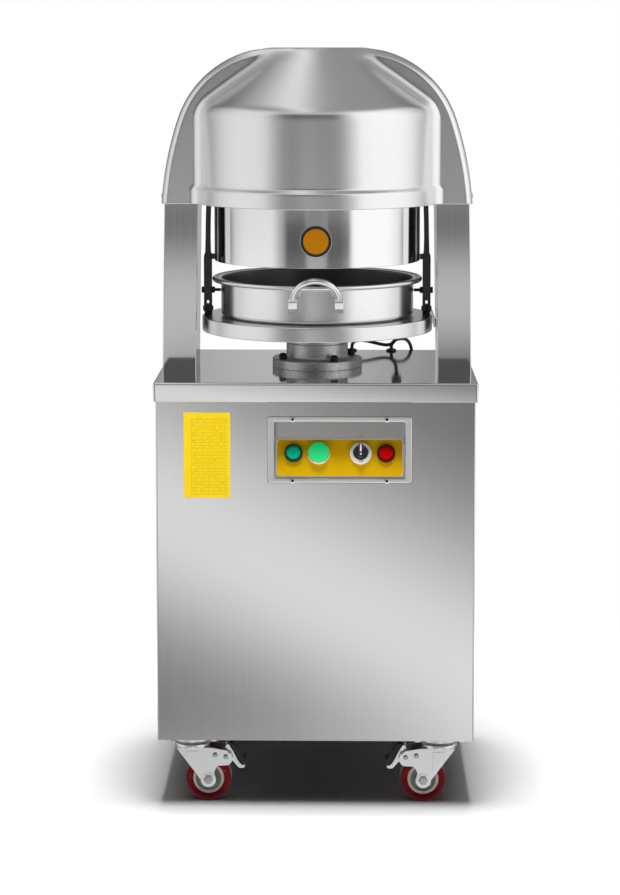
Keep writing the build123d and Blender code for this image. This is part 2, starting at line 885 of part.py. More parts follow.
# Electrical box standing on the pan, open to the front, with its row of contactors
with BuildPart() as electrical_box:
    box_low = (*box_corner, pan_top)
    box_high = tuple(a + b for a, b in zip(box_low, box_size))
    block(box_low, box_high)
    fillet(electrical_box.edges().filter_by(Axis.Z), box_wall)
    inside_low = (box_low[0] + box_wall, box_low[1], box_low[2] + box_wall)
    inside_high = tuple(a - box_wall for a in box_high)
    block(inside_low, inside_high, Mode.SUBTRACT)
    for n in range(contactor_count):
        left = inside_low[0] + contactor_gap + n * (contactor_size[0] + contactor_gap)
        block(
            (left, inside_high[1] - contactor_size[1], contactor_level),
            (left + contactor_size[0], inside_high[1], contactor_level + contactor_size[2]),
        )
save(electrical_box, "electrical_box")

# Bowl with a rounded floor corner and a rolled rim
with BuildPart() as bowl:
    turned(
        [
            (0, bowl_base),
            (bowl_radius, bowl_base),
            (bowl_radius, bowl_rim_top - 2 * rim_bead),
            (rim_radius - rim_bead, bowl_rim_top - 2 * rim_bead),
            (rim_radius - rim_bead, bowl_rim_top),
            (bowl_radius - bowl_wall, bowl_rim_top),
            (bowl_radius - bowl_wall, bowl_floor_top),
            (0, bowl_floor_top),
        ]
    )
    with BuildSketch(Plane.XZ):
        with Locations((rim_radius - rim_bead, bowl_rim_top - rim_bead)):
            Circle(rim_bead)
    revolve(axis=Axis.Z)
    floor_edge = bowl.edges().filter_by(GeomType.CIRCLE).group_by(Axis.Z)[0]
    fillet(floor_edge, bowl_corner)
save(bowl, "bowl")

# Bowl handle: a bent bar in two ferrules, leaning outwards past the rim
handle_plane = Plane(
    origin=(0, -handle_offset, handle_root_height),
    x_dir=(1, 0, 0),
    z_dir=(0, -cos(radians(handle_lean)), -sin(radians(handle_lean))),
)
with BuildPart() as handle_ferrule_blank:
    for side in (-1, 1):
        foot = handle_plane.from_local_coords((side * handle_spacing / 2, -ferrule_length, 0))
        axis = handle_plane.y_dir
        rod(foot, axis, ferrule_radius, ferrule_length)
        tab_middle = (foot.Z + handle_root_height) / 2
        block(
            (foot.X - ferrule_tab_width / 2, 0, tab_middle - ferrule_tab_height / 2),
            (foot.X + ferrule_tab_width / 2, foot.Y, tab_middle + ferrule_tab_height / 2),
        )
        rod(foot, axis, handle_bar_radius + running_fit, ferrule_length, Mode.SUBTRACT)
    rod((0, 0, bowl_base), (0, 0, 1), bowl_radius + running_fit, bowl_height, Mode.SUBTRACT)

with BuildPart() as bowl_handle:
    with BuildLine(handle_plane) as handle_path:
        leg = Line((-handle_spacing / 2, -ferrule_length), (-handle_spacing / 2, 0))
        bend = ThreePointArc(leg @ 1, (0, handle_spacing / 2), (handle_spacing / 2, 0))
        Line(bend @ 1, (handle_spacing / 2, -ferrule_length))
    with BuildSketch(Plane(origin=handle_path.wire() @ 0, z_dir=handle_path.wire() % 0)):
        Circle(handle_bar_radius)
    sweep(path=handle_path.wire())
    add(handle_ferrule_blank.part)
save(bowl_handle, "bowl_handle")

# Guard drum round the knives
with BuildPart() as guard_drum:
    turned(
        [
            (drum_radius - drum_wall, drum_bottom),
            (drum_radius, drum_bottom),
            (drum_radius, drum_bottom + drum_height),
            (drum_radius - drum_wall, drum_bottom + drum_height),
        ]
    )
save(guard_drum, "guard_drum")

# Side arms: a forked foot, a stout bar, a slimmer bar above, and the lug that carries the drum
with BuildPart() as right_arm:
    for inner in (arm_inner, arm_inner + arm_bar + arm_gap):
        block((inner, -arm_width / 2, arm_foot), (inner + arm_bar, arm_width / 2, arm_joint_height))
    joint_top = arm_joint_height + arm_joint
    block((arm_inner, -arm_width / 2, arm_joint_height), (arm_outer, arm_width / 2, joint_top))
    middle = (arm_inner + arm_outer) / 2
    with BuildSketch(Plane.XZ):
        Polygon(
            (middle - arm_upper_bar / 2, joint_top - arm_joint / 2),
            (middle + arm_upper_bar / 2, joint_top - arm_joint / 2),
            (middle + arm_upper_bar / 2 - arm_top_shift, arm_top),
            (middle - arm_upper_bar / 2 - arm_top_shift, arm_top),
            align=None,
        )
    extrude(amount=arm_upper_width / 2, both=True)
    lug_half = arm_lug_width / 2
    block((drum_radius - drum_wall, -lug_half, drum_bottom), (arm_inner, lug_half, joint_top))
    rod((0, 0, drum_bottom), (0, 0, 1), drum_radius + running_fit, drum_height, Mode.SUBTRACT)
    for height, radius in ((pin_height, pin_radius), (adjuster_height, adjuster_radius)):
        rod((arm_inner, 0, height), (1, 0, 0), radius + running_fit, 2 * arm_width, Mode.SUBTRACT)
save(right_arm, "right_arm")

with BuildPart() as left_arm:
    mirror(right_arm.part, about=Plane.YZ)
save(left_arm, "left_arm")

# Arm brackets: a lug on a foot between the two bars of each arm, and its pin
with BuildPart() as arm_brackets:
    lug_inner = arm_inner + arm_bar + bracket_play
    lug_outer = lug_inner + arm_gap - 2 * bracket_play
    foot_half = bracket_foot_width / 2
    foot_outer = arm_outer - bracket_foot_inset
    block((lug_inner, -arm_width / 2, plate_top), (lug_outer, arm_width / 2, plate_top + bracket_height))
    block((arm_inner, -foot_half, plate_top), (foot_outer, foot_half, plate_top + bracket_foot))
    rod((arm_inner, 0, pin_height), (1, 0, 0), pin_radius + running_fit, 2 * arm_width, Mode.SUBTRACT)
    rod((arm_inner - pin_end, 0, pin_height), (1, 0, 0), pin_radius, arm_outer - arm_inner + 2 * pin_end)
    mirror(about=Plane.YZ)
save(arm_brackets, "arm_brackets")

# Adjusting bolts with locknuts, from the arms to the sides of the bowl
with BuildPart() as arm_adjusters:
    tip = bowl_radius + adjuster_gap
    rod((tip, 0, adjuster_height), (1, 0, 0), adjuster_radius, arm_outer - tip)
    for start, height in ((arm_outer, hex_height), (arm_inner - hex_height, hex_height)):
        with BuildSketch(Plane(origin=(start, 0, adjuster_height), z_dir=(1, 0, 0))):
            RegularPolygon(hex_flats / 2, 6, major_radius=False)
            if start < arm_outer:
                Circle(adjuster_radius + running_fit, mode=Mode.SUBTRACT)
        extrude(amount=height)
    mirror(about=Plane.YZ)
save(arm_adjusters, "arm_adjusters")

# Knife grid: three round knives and their radial knives under a plate, hung on four posts
with BuildPart() as knife_grid:
    for radius in ring_radii:
        with BuildSketch(Plane.XY.offset(knife_bottom)):
            Circle(radius + knife_thickness / 2)
            Circle(radius - knife_thickness / 2, mode=Mode.SUBTRACT)
        extrude(amount=knife_height)
    for count, start, end in zip(knife_ring_counts, ring_starts, ring_radii):
        with BuildSketch(Plane.XY.offset(knife_bottom)):
            with PolarLocations((start + end) / 2, count):
                Rectangle(end - start, knife_thickness)
        extrude(amount=knife_height)
    rod((0, 0, knife_top), (0, 0, 1), knife_radius + knife_thickness / 2, knife_plate)
    for count, start, end in zip(knife_ring_counts, ring_starts, ring_radii):
        with Locations((0, 0, knife_top + knife_plate / 2)):
            with PolarLocations((start + end) / 2 + block_post_radius, count, start_angle=180 / count):
                Cylinder(block_post_radius + post_clearance, knife_plate, mode=Mode.SUBTRACT)
    for x, y in hanger_places:
        rod((x, y, knife_plate_top), (0, 0, 1), hanger_radius, head_bottom - knife_plate_top)
        rod((x, y, knife_plate_top), (0, 0, 1), hanger_collar_radius, spider_bottom - knife_plate_top)
save(knife_grid, "knife_grid")

# Press blocks: one between every pair of knives, on posts under a spider plate
with BuildPart() as press_blocks:
    groove = knife_thickness / 2 + block_gap
    with BuildSketch(Plane.XY.offset(block_bottom)) as block_plan:
        Circle(knife_radius - groove)
        with BuildSketch(Plane.XY.offset(block_bottom), mode=Mode.PRIVATE) as knife_plan:
            for radius in reversed(ring_radii[:-1]):
                Circle(radius + groove)
                Circle(radius - groove, mode=Mode.SUBTRACT)
            for count, start, end in zip(knife_ring_counts, ring_starts, ring_radii):
                with PolarLocations((start + end) / 2, count):
                    Rectangle(end - start, 2 * groove)
        add(knife_plan.sketch, mode=Mode.SUBTRACT)
    extrude(amount=block_thickness)
    for count, start, end in zip(knife_ring_counts, ring_starts, ring_radii):
        with Locations((0, 0, block_top)):
            with PolarLocations((start + end) / 2 + block_post_radius, count, start_angle=180 / count):
                Cylinder(
                    block_post_radius,
                    spider_bottom - block_top,
                    align=(Align.CENTER, Align.CENTER, Align.MIN),
                )
    rod((0, 0, spider_bottom), (0, 0, 1), spider_radius, spider_thickness)
    guide_hole = hanger_radius + 2 * running_fit
    for x, y in hanger_places:
        rod((x, y, spider_bottom), (0, 0, 1), guide_hole, spider_thickness, Mode.SUBTRACT)
save(press_blocks, "press_blocks")

# Press springs round the hangers, between the spider and the head
with BuildPart() as press_springs:
    spring_length = head_bottom - spider_top
    for x, y in hanger_places:
        rod((x, y, spider_top), (0, 0, 1), spring_radius, spring_length)
        rod((x, y, spider_top), (0, 0, 1), spring_radius - spring_wire, spring_length, Mode.SUBTRACT)
save(press_springs, "press_springs")

# Control bezel, a frame on the front panel
with BuildPart() as control_bezel:
    with BuildSketch(Plane.XZ.offset(-front_face)):
        with Locations((console_x, console_height)):
            RectangleRounded(
                console_width + 2 * bezel_border, console_opening + 2 * bezel_side_border, bezel_corner
            )
            Rectangle(console_width, console_opening, mode=Mode.SUBTRACT)
    extrude(amount=bezel_thickness)
    for x, z in console_screws:
        rod((x, front_face, z), (0, -1, 0), screw_hole_radius, bezel_thickness, Mode.SUBTRACT)
save(control_bezel, "control_bezel")

# Control recess, a folded tray whose floor slants up to its back wall
recess_outline = [
    (front_face, recess_bottom),
    (slant_front, recess_bottom),
    (slant_back, slant_top),
    (slant_back, recess_top),
    (front_face, recess_top),
]
control_origin = (console_x, (slant_front + slant_back) / 2, (recess_bottom + slant_top) / 2)
control_normal = (0, -cos(radians(control_tilt)), sin(radians(control_tilt)))
control_plane = Plane(origin=control_origin, x_dir=(1, 0, 0), z_dir=control_normal)
device_places = [-lamp_offset, -operator_offset, operator_offset, lamp_offset]
with BuildPart() as control_recess:
    with BuildSketch(Plane.YZ.offset(console_x)):
        Polygon(*recess_outline, align=None)
        offset(amount=recess_sheet, kind=Kind.INTERSECTION)
    extrude(amount=console_width / 2 + recess_sheet, both=True)
    block(
        (console_x - console_width, front_face - 2 * recess_sheet, recess_bottom - 2 * recess_sheet),
        (console_x + console_width, front_face, recess_top + 2 * recess_sheet),
        Mode.SUBTRACT,
    )
    with BuildSketch(Plane.YZ.offset(console_x)):
        Polygon(*recess_outline, align=None)
    extrude(amount=console_width / 2, both=True, mode=Mode.SUBTRACT)
    for x in device_places:
        hole = control_plane.from_local_coords((x, device_row, -2 * recess_sheet))
        rod(hole, control_plane.z_dir, device_body_radius + hole_clearance, 4 * recess_sheet, Mode.SUBTRACT)
save(control_recess, "control_recess")

# Control plate on the slanted floor of the recess
with BuildPart() as control_plate:
    with BuildSketch(control_plane):
        with Locations((0, -recess_sheet)):
            Rectangle(console_width - 4 * recess_sheet, control_length - 4 * recess_sheet)
        with Locations(*[(x, device_row) for x in device_places]):
            Circle(device_body_radius + hole_clearance, mode=Mode.SUBTRACT)
    extrude(amount=control_sheet)
save(control_plate, "control_plate")

# Device collars: two lamp bezels, the button's collar and the selector's ring, each with
# the body that passes through the plate
device_plane = control_plane.offset(control_sheet)
with BuildPart() as device_collars:
    for x in device_places:
        lamp = abs(x) == lamp_offset
        outer = lamp_bezel_radius if lamp else collar_radius
        height = lamp_bezel_height if lamp else collar_height
        bore = lens_radius if lamp else (button_radius if x < 0 else knob_radius)
        place = device_plane.from_local_coords((x, device_row, 0))
        rod(place, device_plane.z_dir, outer, height)
        floor = device_plane.from_local_coords((x, device_row, device_floor))
        rod(floor, device_plane.z_dir, bore + part_gap, height, Mode.SUBTRACT)
        rod(place, -device_plane.z_dir, device_body_radius, device_body)
save(device_collars, "device_collars")

# Lamp lenses, low domes in their bezels
for name, x in (("green_lens", -lamp_offset), ("red_lens", lamp_offset)):
    with BuildPart() as lens:
        seat = device_plane.from_local_coords((x, device_row, device_floor))
        rod(seat, device_plane.z_dir, lens_radius, lens_height)
        fillet(lens.edges().filter_by(GeomType.CIRCLE).sort_by(Axis.Z)[-1], lens_edge)
    save(lens, name)

# Start button, a cap that slides in its collar
with BuildPart() as start_button:
    button_seat = device_floor + button_travel + part_gap
    seat = device_plane.from_local_coords((-operator_offset, device_row, button_seat))
    rod(seat, device_plane.z_dir, button_radius, button_height - button_travel)
    fillet(start_button.edges().filter_by(GeomType.CIRCLE).sort_by(Axis.Z)[-1], button_edge)
save(start_button, "start_button")

# Selector knob: a round base with an upright grip
with BuildPart() as selector_knob:
    seat = device_plane.from_local_coords((operator_offset, device_row, device_floor + part_gap))
    rod(seat, device_plane.z_dir, knob_radius, knob_base)
    grip_plane = Plane(origin=seat, x_dir=(1, 0, 0), z_dir=device_plane.z_dir).offset(knob_base)
    with BuildSketch(grip_plane):
        SlotOverall(2 * (knob_radius - knob_grip_inset), knob_grip_width, rotation=90)
    extrude(amount=knob_grip)
save(selector_knob, "selector_knob")

# Screws of the bezel, the back panel and the hood
with BuildPart() as panel_screws:
    for x, z in console_screws:
        rod((x, front_face - bezel_thickness, z), (0, -1, 0), screw_head_radius, screw_head_height)
        rod((x, front_face - bezel_thickness, z), (0, 1, 0), screw_shank_radius, screw_shank)
    for x, z in back_screws:
        rod((x, panel_y, z), (0, 1, 0), screw_head_radius, screw_head_height)
        rod((x, panel_y, z), (0, -1, 0), screw_shank_radius, screw_shank)
    for side in (-1, 1):
        for way in (-1, 1):
            hood_face = (way * (hood_half_width + hood_band_proud), side * hood_screw_y, hood_screw_height)
            rod(hood_face, (way, 0, 0), screw_head_radius, screw_head_height)
            rod(hood_face, (-way, 0, 0), screw_shank_radius, screw_shank + hood_band_proud)
save(panel_screws, "panel_screws")

# Grommets in the worktop and the gland in the back panel
with BuildPart() as cable_grommets:
    for x in (sensor_grommet_x, rear_grommet_x):
        rod((x, grommet_y, worktop_top), (0, 0, 1), grommet_radius, grommet_height)
        rod((x, grommet_y, sheet_under), (0, 0, 1), grommet_neck_radius, worktop_sheet)
    rod((rear_gland_x, panel_y, rear_gland_height), (0, 1, 0), grommet_radius, rear_gland_length)
    rod((rear_gland_x, inner_y, rear_gland_height), (0, 1, 0), grommet_neck_radius, panel_sheet)
save(cable_grommets, "cable_grommets")

# Mains gland under the pan
with BuildPart() as mains_gland:
    with BuildSketch(Plane.XY.offset(cabinet_bottom)):
        with Locations((gland_x, gland_y)):
            RegularPolygon(gland_hex / 2, 6, major_radius=False)
    extrude(amount=-gland_drop)
    rod((gland_x, gland_y, cabinet_bottom), (0, 0, 1), gland_neck_radius, gland_neck)
    rod(
        (gland_x, gland_y, cabinet_bottom - gland_drop),
        (0, 0, 1),
        gland_bore_radius,
        gland_drop + gland_neck,
        Mode.SUBTRACT,
    )
save(mains_gland, "mains_gland")

# Limit switch behind the lift plate, on a strap from the right column
with BuildPart() as limit_switch:
    lean_here = column_lean * (strap_bottom + strap_height - worktop_top) / (column_top - worktop_top)
    strap_outer = column_inner - lean_here
    strap_top = strap_bottom + strap_height
    switch_back = switch_y + strap_sheet
    block((strap_outer - strap_sheet, strap_start, strap_bottom), (strap_outer, switch_back, strap_top))
    block((switch_x - switch_size[0] / 2, switch_y, strap_bottom), (strap_outer, switch_back, strap_top))
    block(
        (switch_x - switch_size[0] / 2, switch_back, switch_bottom),
        (switch_x + switch_size[0] / 2, switch_back + switch_size[1], switch_bottom + switch_size[2]),
    )
    switch_middle = switch_back + switch_size[1] / 2
    rod((switch_x, switch_middle, switch_bottom), (0, 0, -1), switch_gland_radius, switch_gland_drop)
save(limit_switch, "limit_switch")


def cable(points):
    """A round cable along straight runs joined by arcs as large as the runs allow."""
    corners = [Vector(*p) for p in points]
    runs = [b - a for a, b in zip(corners, corners[1:])]
    radii = [
        0.45 * min(a.length, b.length) / tan(radians(a.get_angle(b) / 2)) for a, b in zip(runs, runs[1:])
    ]
    with BuildLine() as route:
        FilletPolyline(*corners, radius=radii)
    wire = route.wire()
    with BuildSketch(Plane(origin=wire @ 0, z_dir=wire % 0)) as section:
        Circle(cable_radius)
    sweep(section.sketch, path=wire)
    return radii, wire.length


# Sensor cable, from its grommet along the worktop and up to the limit switch
switch_entry = switch_bottom - switch_gland_drop
grommet_top = worktop_top + grommet_height
with BuildPart() as sensor_cable:
    sensor_radii, sensor_length = cable(
        [
            (sensor_grommet_x, grommet_y, grommet_top),
            (sensor_grommet_x, grommet_y, 713.5),
            (64.0, 193.0, 719.5),
            (75.0, 192.5, 721.5),
            (92.0, 191.0, 718.5),
            (109.0, 188.5, 714.5),
            (122.0, 184.5, 713.0),
            (132.0, 180.0, 717.0),
            (switch_x, switch_middle, 727.5),
            (switch_x, switch_middle, switch_entry),
        ]
    )
save(sensor_cable, "sensor_cable")

# Rear cable, from its grommet in a low loop over the back edge and down to its gland
with BuildPart() as rear_cable:
    rear_radii, rear_length = cable(
        [
            (rear_grommet_x, grommet_y, grommet_top),
            (rear_grommet_x, grommet_y, 713.5),
            (134.0, 195.5, 720.0),
            (144.0, 201.0, 723.0),
            (154.5, 209.0, 721.5),
            (162.0, 217.0, 714.0),
            (166.0, 223.0, 701.0),
            (167.5, 226.5, 686.0),
            (168.0, 228.0, 672.0),
            (168.0, 227.5, 660.0),
            (168.0, 223.5, 651.0),
            (rear_gland_x, 217.0, rear_gland_height),
            (rear_gland_x, panel_y + rear_gland_length, rear_gland_height),
        ]
    )
save(rear_cable, "rear_cable")

for name, piece, radii, length in (
    ("sensor cable", sensor_cable, sensor_radii, sensor_length),
    ("rear cable", rear_cable, rear_radii, rear_length),
):
    section = pi * cable_radius**2
    print(name, "length", round(length, 1), "radii", [round(r, 1) for r in radii])
    print(name, "volume", round(piece.part.volume, 1), "section x length", round(section * length, 1))

# Caster plates with the fixed half of the swivel race, and their bolts
caster_corners = [(sx, sy) for sx in (-1, 1) for sy in (-1, 1)]
with BuildPart() as caster_plates:
    for sx, sy in caster_corners:
        with Locations((sx * caster_x, sy * caster_y, caster_plate_bottom)):
            Box(
                caster_plate_width,
                caster_plate_depth,
                caster_plate_thickness,
                align=(Align.CENTER, Align.CENTER, Align.MIN),
            )
            Cylinder(race_radius, race_height, align=(Align.CENTER, Align.CENTER, Align.MAX))
            with GridLocations(caster_hole_x, caster_hole_y, 2, 2):
                Cylinder(caster_bolt_radius + hole_clearance, 3 * caster_plate_thickness, mode=Mode.SUBTRACT)
save(caster_plates, "caster_plates")

with BuildPart() as caster_bolts:
    with BuildSketch(Plane.XY.offset(caster_plate_bottom)):
        for sx, sy in caster_corners:
            with Locations((sx * caster_x, sy * caster_y)):
                with GridLocations(caster_hole_x, caster_hole_y, 2, 2):
                    RegularPolygon(hex_flats / 2, 6, major_radius=False)
    extrude(amount=-caster_bolt_head)
    for sx, sy in caster_corners:
        with Locations((sx * caster_x, sy * caster_y, caster_plate_bottom)):
            with GridLocations(caster_hole_x, caster_hole_y, 2, 2):
                Cylinder(
                    caster_bolt_radius,
                    caster_plate_thickness + pan_sheet,
                    align=(Align.CENTER, Align.CENTER, Align.MIN),
                )
save(caster_bolts, "caster_bolts")

# Wheel hub, dished on both sides, and the tyre round it, both about the Y axis
hub_rim = wheel_radius - tyre_thickness
with BuildPart() as hub_blank:
    with BuildSketch(Plane.XY):
        Polygon(
            (axle_radius + running_fit, -wheel_width / 2),
            (hub_boss_radius, -wheel_width / 2),
            (hub_boss_radius, -wheel_width / 2 + hub_dish),
            (hub_rim - hub_edge, -wheel_width / 2 + hub_dish),
            (hub_rim - hub_edge, -wheel_width / 2 + tyre_crown),
            (hub_rim, -wheel_width / 2 + tyre_crown),
            (hub_rim, 0),
            (axle_radius + running_fit, 0),
            align=None,
        )
        mirror(about=Plane.XZ)
    revolve(axis=Axis.Y)

with BuildPart() as tyre_blank:
    with BuildSketch(Plane.XY):
        Polygon(
            (hub_rim + tyre_fit, 0),
            (hub_rim + tyre_fit, wheel_width / 2),
            (wheel_radius - tyre_crown, wheel_width / 2),
            (wheel_radius, wheel_width / 2 - tyre_crown),
            (wheel_radius, 0),
            align=None,
        )
        mirror(about=Plane.XZ)
    revolve(axis=Axis.Y)

# Casters: the fork with its axle, the wheel of hub and tyre, and the front brake pedals
half_leg = fork_leg_half_gap + fork_leg
crown_half = race_radius - race_overlap
for sx, sy in caster_corners:
    name = f"{'front' if sy < 0 else 'rear'}_{'left' if sx < 0 else 'right'}"
    inward = -sx
    place = (sx * caster_x, sy * caster_y)
    axle = (place[0] + inward * caster_trail, place[1] - half_leg - axle_head, wheel_radius)
    fork_plane = Plane(origin=(place[0], place[1], 0), x_dir=(inward, 0, 0), z_dir=(0, -inward, 0))
    brake_arm = [
        (caster_trail + fork_throat, wheel_radius + fork_throat_rise),
        (caster_trail + fork_arm_root, wheel_radius + fork_arm_rise),
        (pedal_pin_trail, wheel_radius + fork_arm_rise),
        (pedal_pin_trail + fork_nose, pedal_pin_height - fork_nose_drop),
        (pedal_pin_trail - fork_arm_back, pedal_pin_height + fork_arm_top),
    ]
    with BuildPart() as fork:
        rod((*place, crown_top), (0, 0, 1), crown_half, fork_race)
        with BuildSketch(fork_plane):
            Polygon(
                (-fork_heel, crown_top),
                (caster_trail - axle_eye_radius, wheel_radius),
                (caster_trail + axle_eye_radius, wheel_radius),
                *(brake_arm if sy < 0 else []),
                (crown_half, crown_top),
                align=None,
            )
            with Locations((caster_trail, wheel_radius)):
                Circle(axle_eye_radius)
        extrude(amount=half_leg, both=True)
        with BuildSketch(fork_plane):
            with Locations((0, (crown_top - fork_crown) / 2)):
                Rectangle(2 * (pedal_pin_trail + race_radius), crown_top - fork_crown)
        extrude(amount=fork_leg_half_gap, both=True, mode=Mode.SUBTRACT)
        rod(axle, (0, 1, 0), axle_radius, 2 * (half_leg + axle_head))
        rod(axle, (0, 1, 0), axle_head_radius, axle_head)
        rod((axle[0], place[1] + half_leg, wheel_radius), (0, 1, 0), axle_head_radius, axle_head)
        if sy < 0:
            pin = fork_plane.from_local_coords((pedal_pin_trail, pedal_pin_height, -half_leg))
            rod(pin, fork_plane.z_dir, pedal_pin_radius + running_fit, 2 * half_leg, Mode.SUBTRACT)
            rivet_half = half_leg + rivet_head
            rivet_trail = pedal_pin_trail - fork_rivet_back
            rivet = fork_plane.from_local_coords((rivet_trail, pedal_pin_height, -rivet_half))
            rod(rivet, fork_plane.z_dir, pedal_pin_radius, 2 * rivet_half)
    save(fork, f"{name}_fork")
    with BuildPart() as wheel:
        with Locations((axle[0], place[1], wheel_radius)):
            add(hub_blank.part)
            add(tyre_blank.part)
    save(wheel, f"{name}_wheel")
    if sy < 0:
        with BuildPart() as pedal:
            with BuildSketch(fork_plane):
                Polygon(*[(pedal_pin_trail + x, pedal_pin_height + z) for x, z in pedal_profile], align=None)
            extrude(amount=pedal_width / 2, both=True)
            rod(pin, fork_plane.z_dir, pedal_pin_radius, 2 * half_leg)
        save(pedal, f"{name}_pedal")
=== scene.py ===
# %% [markdown]
# An electric dough divider. The CAD solids fix where everything is and how it moves. This
# lesson dresses them: sheet metal gets its soft folds, turned pieces get round edges, and
# every surface gets a finish made from nodes.

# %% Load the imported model
from math import cos, pi, radians, sin, tan

import bmesh
import bpy
import numpy as np
from mathutils import Matrix, Vector


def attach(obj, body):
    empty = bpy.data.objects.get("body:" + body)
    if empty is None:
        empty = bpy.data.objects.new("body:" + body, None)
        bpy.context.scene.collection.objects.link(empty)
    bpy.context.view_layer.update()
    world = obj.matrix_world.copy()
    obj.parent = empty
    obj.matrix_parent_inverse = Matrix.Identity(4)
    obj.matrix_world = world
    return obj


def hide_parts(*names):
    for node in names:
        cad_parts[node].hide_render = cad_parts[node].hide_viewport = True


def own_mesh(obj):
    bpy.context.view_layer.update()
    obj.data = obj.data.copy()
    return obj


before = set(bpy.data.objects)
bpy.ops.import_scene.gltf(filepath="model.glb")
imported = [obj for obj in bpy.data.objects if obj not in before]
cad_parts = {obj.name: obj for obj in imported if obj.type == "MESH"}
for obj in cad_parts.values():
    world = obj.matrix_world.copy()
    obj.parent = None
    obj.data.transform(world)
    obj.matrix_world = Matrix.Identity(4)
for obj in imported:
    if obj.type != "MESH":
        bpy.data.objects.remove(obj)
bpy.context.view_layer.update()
scene = bpy.context.scene
MM = 0.001

# %% [markdown]
# The camera comes first, because every later choice is judged through it. A long lens from
# almost four metres keeps the cabinet's uprights parallel, and a small vertical shift puts
# the tall machine into the frame without tilting the picture.

# %% Camera
camera_data = bpy.data.cameras.new("studio_camera")
camera = bpy.data.objects.new("studio_camera", camera_data)
scene.collection.objects.link(camera)
camera.location = (0.050637, -3.913417, 1.241146)
camera.rotation_euler = (radians(84.0), 0.0, radians(0.92))
camera_data.sensor_width = 36.0
camera_data.lens = 93.73
camera_data.shift_y = -0.1755
camera_data.clip_end = 60.0
scene.camera = camera
scene.view_settings.view_transform = "Standard"
print("camera lens", camera_data.lens, "shift", camera_data.shift_y)

# %% [markdown]
# Shader maths reads best as plain Python. A Wire stands for one output socket, and adding or
# multiplying wires adds the Math nodes. A Tree makes every other node through one method,
# so a material is a short list of sentences instead of pages of links.

# %% Wires and trees


class Wire:
    """One output socket, with Python's operators as Math nodes."""

    def __init__(self, tree, socket):
        self.tree = tree
        self.socket = socket

    def maths(self, operation, *others):
        """This value, with any others after it, through one Math node."""
        inputs = dict(enumerate((self, *others)))
        return add_node(self.tree, "ShaderNodeMath", {"operation": operation}, inputs)

    def __add__(self, other):
        return self.maths("ADD", other)

    def __sub__(self, other):
        return self.maths("SUBTRACT", other)

    def __rsub__(self, other):
        return add_node(self.tree, "ShaderNodeMath", {"operation": "SUBTRACT"}, {0: other, 1: self})

    def __mul__(self, other):
        return self.maths("MULTIPLY", other)

    def __truediv__(self, other):
        return self.maths("DIVIDE", other)

    def __lt__(self, other):
        return self.maths("LESS_THAN", other)

    def __gt__(self, other):
        return self.maths("GREATER_THAN", other)

    def bell(self):
        """A soft hill: one where the value is zero, falling to nothing on both sides."""
        return (self * self * -1.0).maths("EXPONENT")

    def rise(self, start, end):
        """A smooth step from 0 at start to 1 at end."""
        inputs = {"Value": self, "From Min": start, "From Max": end}
        return add_node(self.tree, "ShaderNodeMapRange", {"interpolation_type": "SMOOTHSTEP"}, inputs)

    def fall(self, start, end):
        """A smooth step from 1 at start to 0 at end."""
        return 1.0 - self.rise(start, end)

    def span(self, start, full, fade, end):
        """1 between two soft edges and 0 outside them."""
        return self.rise(start, full) * self.fall(fade, end)


def plug(tree, slot, value):
    """Set a socket to a plain value, or link a wire to it."""
    if isinstance(value, Wire):
        tree.links.new(value.socket, slot)
    else:
        slot.default_value = value


def add_node(tree, kind, settings=None, inputs=None, out=0):
    """Make a node from its type, its settings and its sockets, and return one output."""
    node = tree.nodes.new(kind)
    for name, value in (settings or {}).items():
        setattr(node, name, value)
    for name, value in (inputs or {}).items():
        plug(tree, node.inputs[name], value)
    return Wire(tree, node.outputs[out])


class Tree:
    """A node tree with the few shapes of nodes that every finish needs."""

    def __init__(self, tree):
        self.tree = tree

    def node(self, kind, settings=None, inputs=None, out=0):
        return add_node(self.tree, kind, settings, inputs, out)

    def split(self, vector):
        """The three numbers of a vector."""
        parts = self.node("ShaderNodeSeparateXYZ", inputs={0: vector})
        return [Wire(self.tree, socket) for socket in parts.socket.node.outputs]

    def mix(self, factor, first, second):
        """A colour between two colours."""
        inputs = {0: factor, 6: first, 7: second}
        return self.node("ShaderNodeMix", {"data_type": "RGBA"}, inputs, out=2)


class Finish(Tree):
    """A material with one Principled shader, fed by the wires of its own tree."""

    def __init__(self, name, **constants):
        self.material = bpy.data.materials.new(name)
        self.material.use_nodes = True
        super().__init__(self.material.node_tree)
        self.shader = self.tree.nodes["Principled BSDF"]
        self.feed(**constants)

    def feed(self, **sockets):
        for name, value in sockets.items():
            slot = self.shader.inputs[name.replace("_", " ").title().replace("Ior", "IOR")]
            if isinstance(value, tuple) and len(value) == 3:
                value = (*value, 1.0)
            plug(self.tree, slot, value)

    def place(self):
        """Object coordinates, which are metres in the machine's own frame."""
        return self.node("ShaderNodeTexCoord", out=3)

    def grain(self, scale, detail=3.0, stretch=(1.0, 1.0, 1.0)):
        """Noise over the surface, drawn out along the axes with small stretch values."""
        place = self.node("ShaderNodeMapping", inputs={"Vector": self.place(), "Scale": stretch})
        inputs = {"Vector": place, "Scale": scale, "Detail": detail, "Roughness": 0.55}
        return self.node("ShaderNodeTexNoise", {"noise_dimensions": "3D"}, inputs)

    def tint(self, factor, shade, dim):
        """A colour between a dimmer tone of a shade and the shade itself."""
        return self.mix(factor, (*(c * dim for c in shade), 1), (*shade, 1))

    def bump(self, height, strength, distance):
        """Tilt the surface by a height, in metres times strength."""
        inputs = {"Height": height, "Strength": strength, "Distance": distance}
        self.feed(normal=self.node("ShaderNodeBump", inputs=inputs))


print("wires and trees are ready")

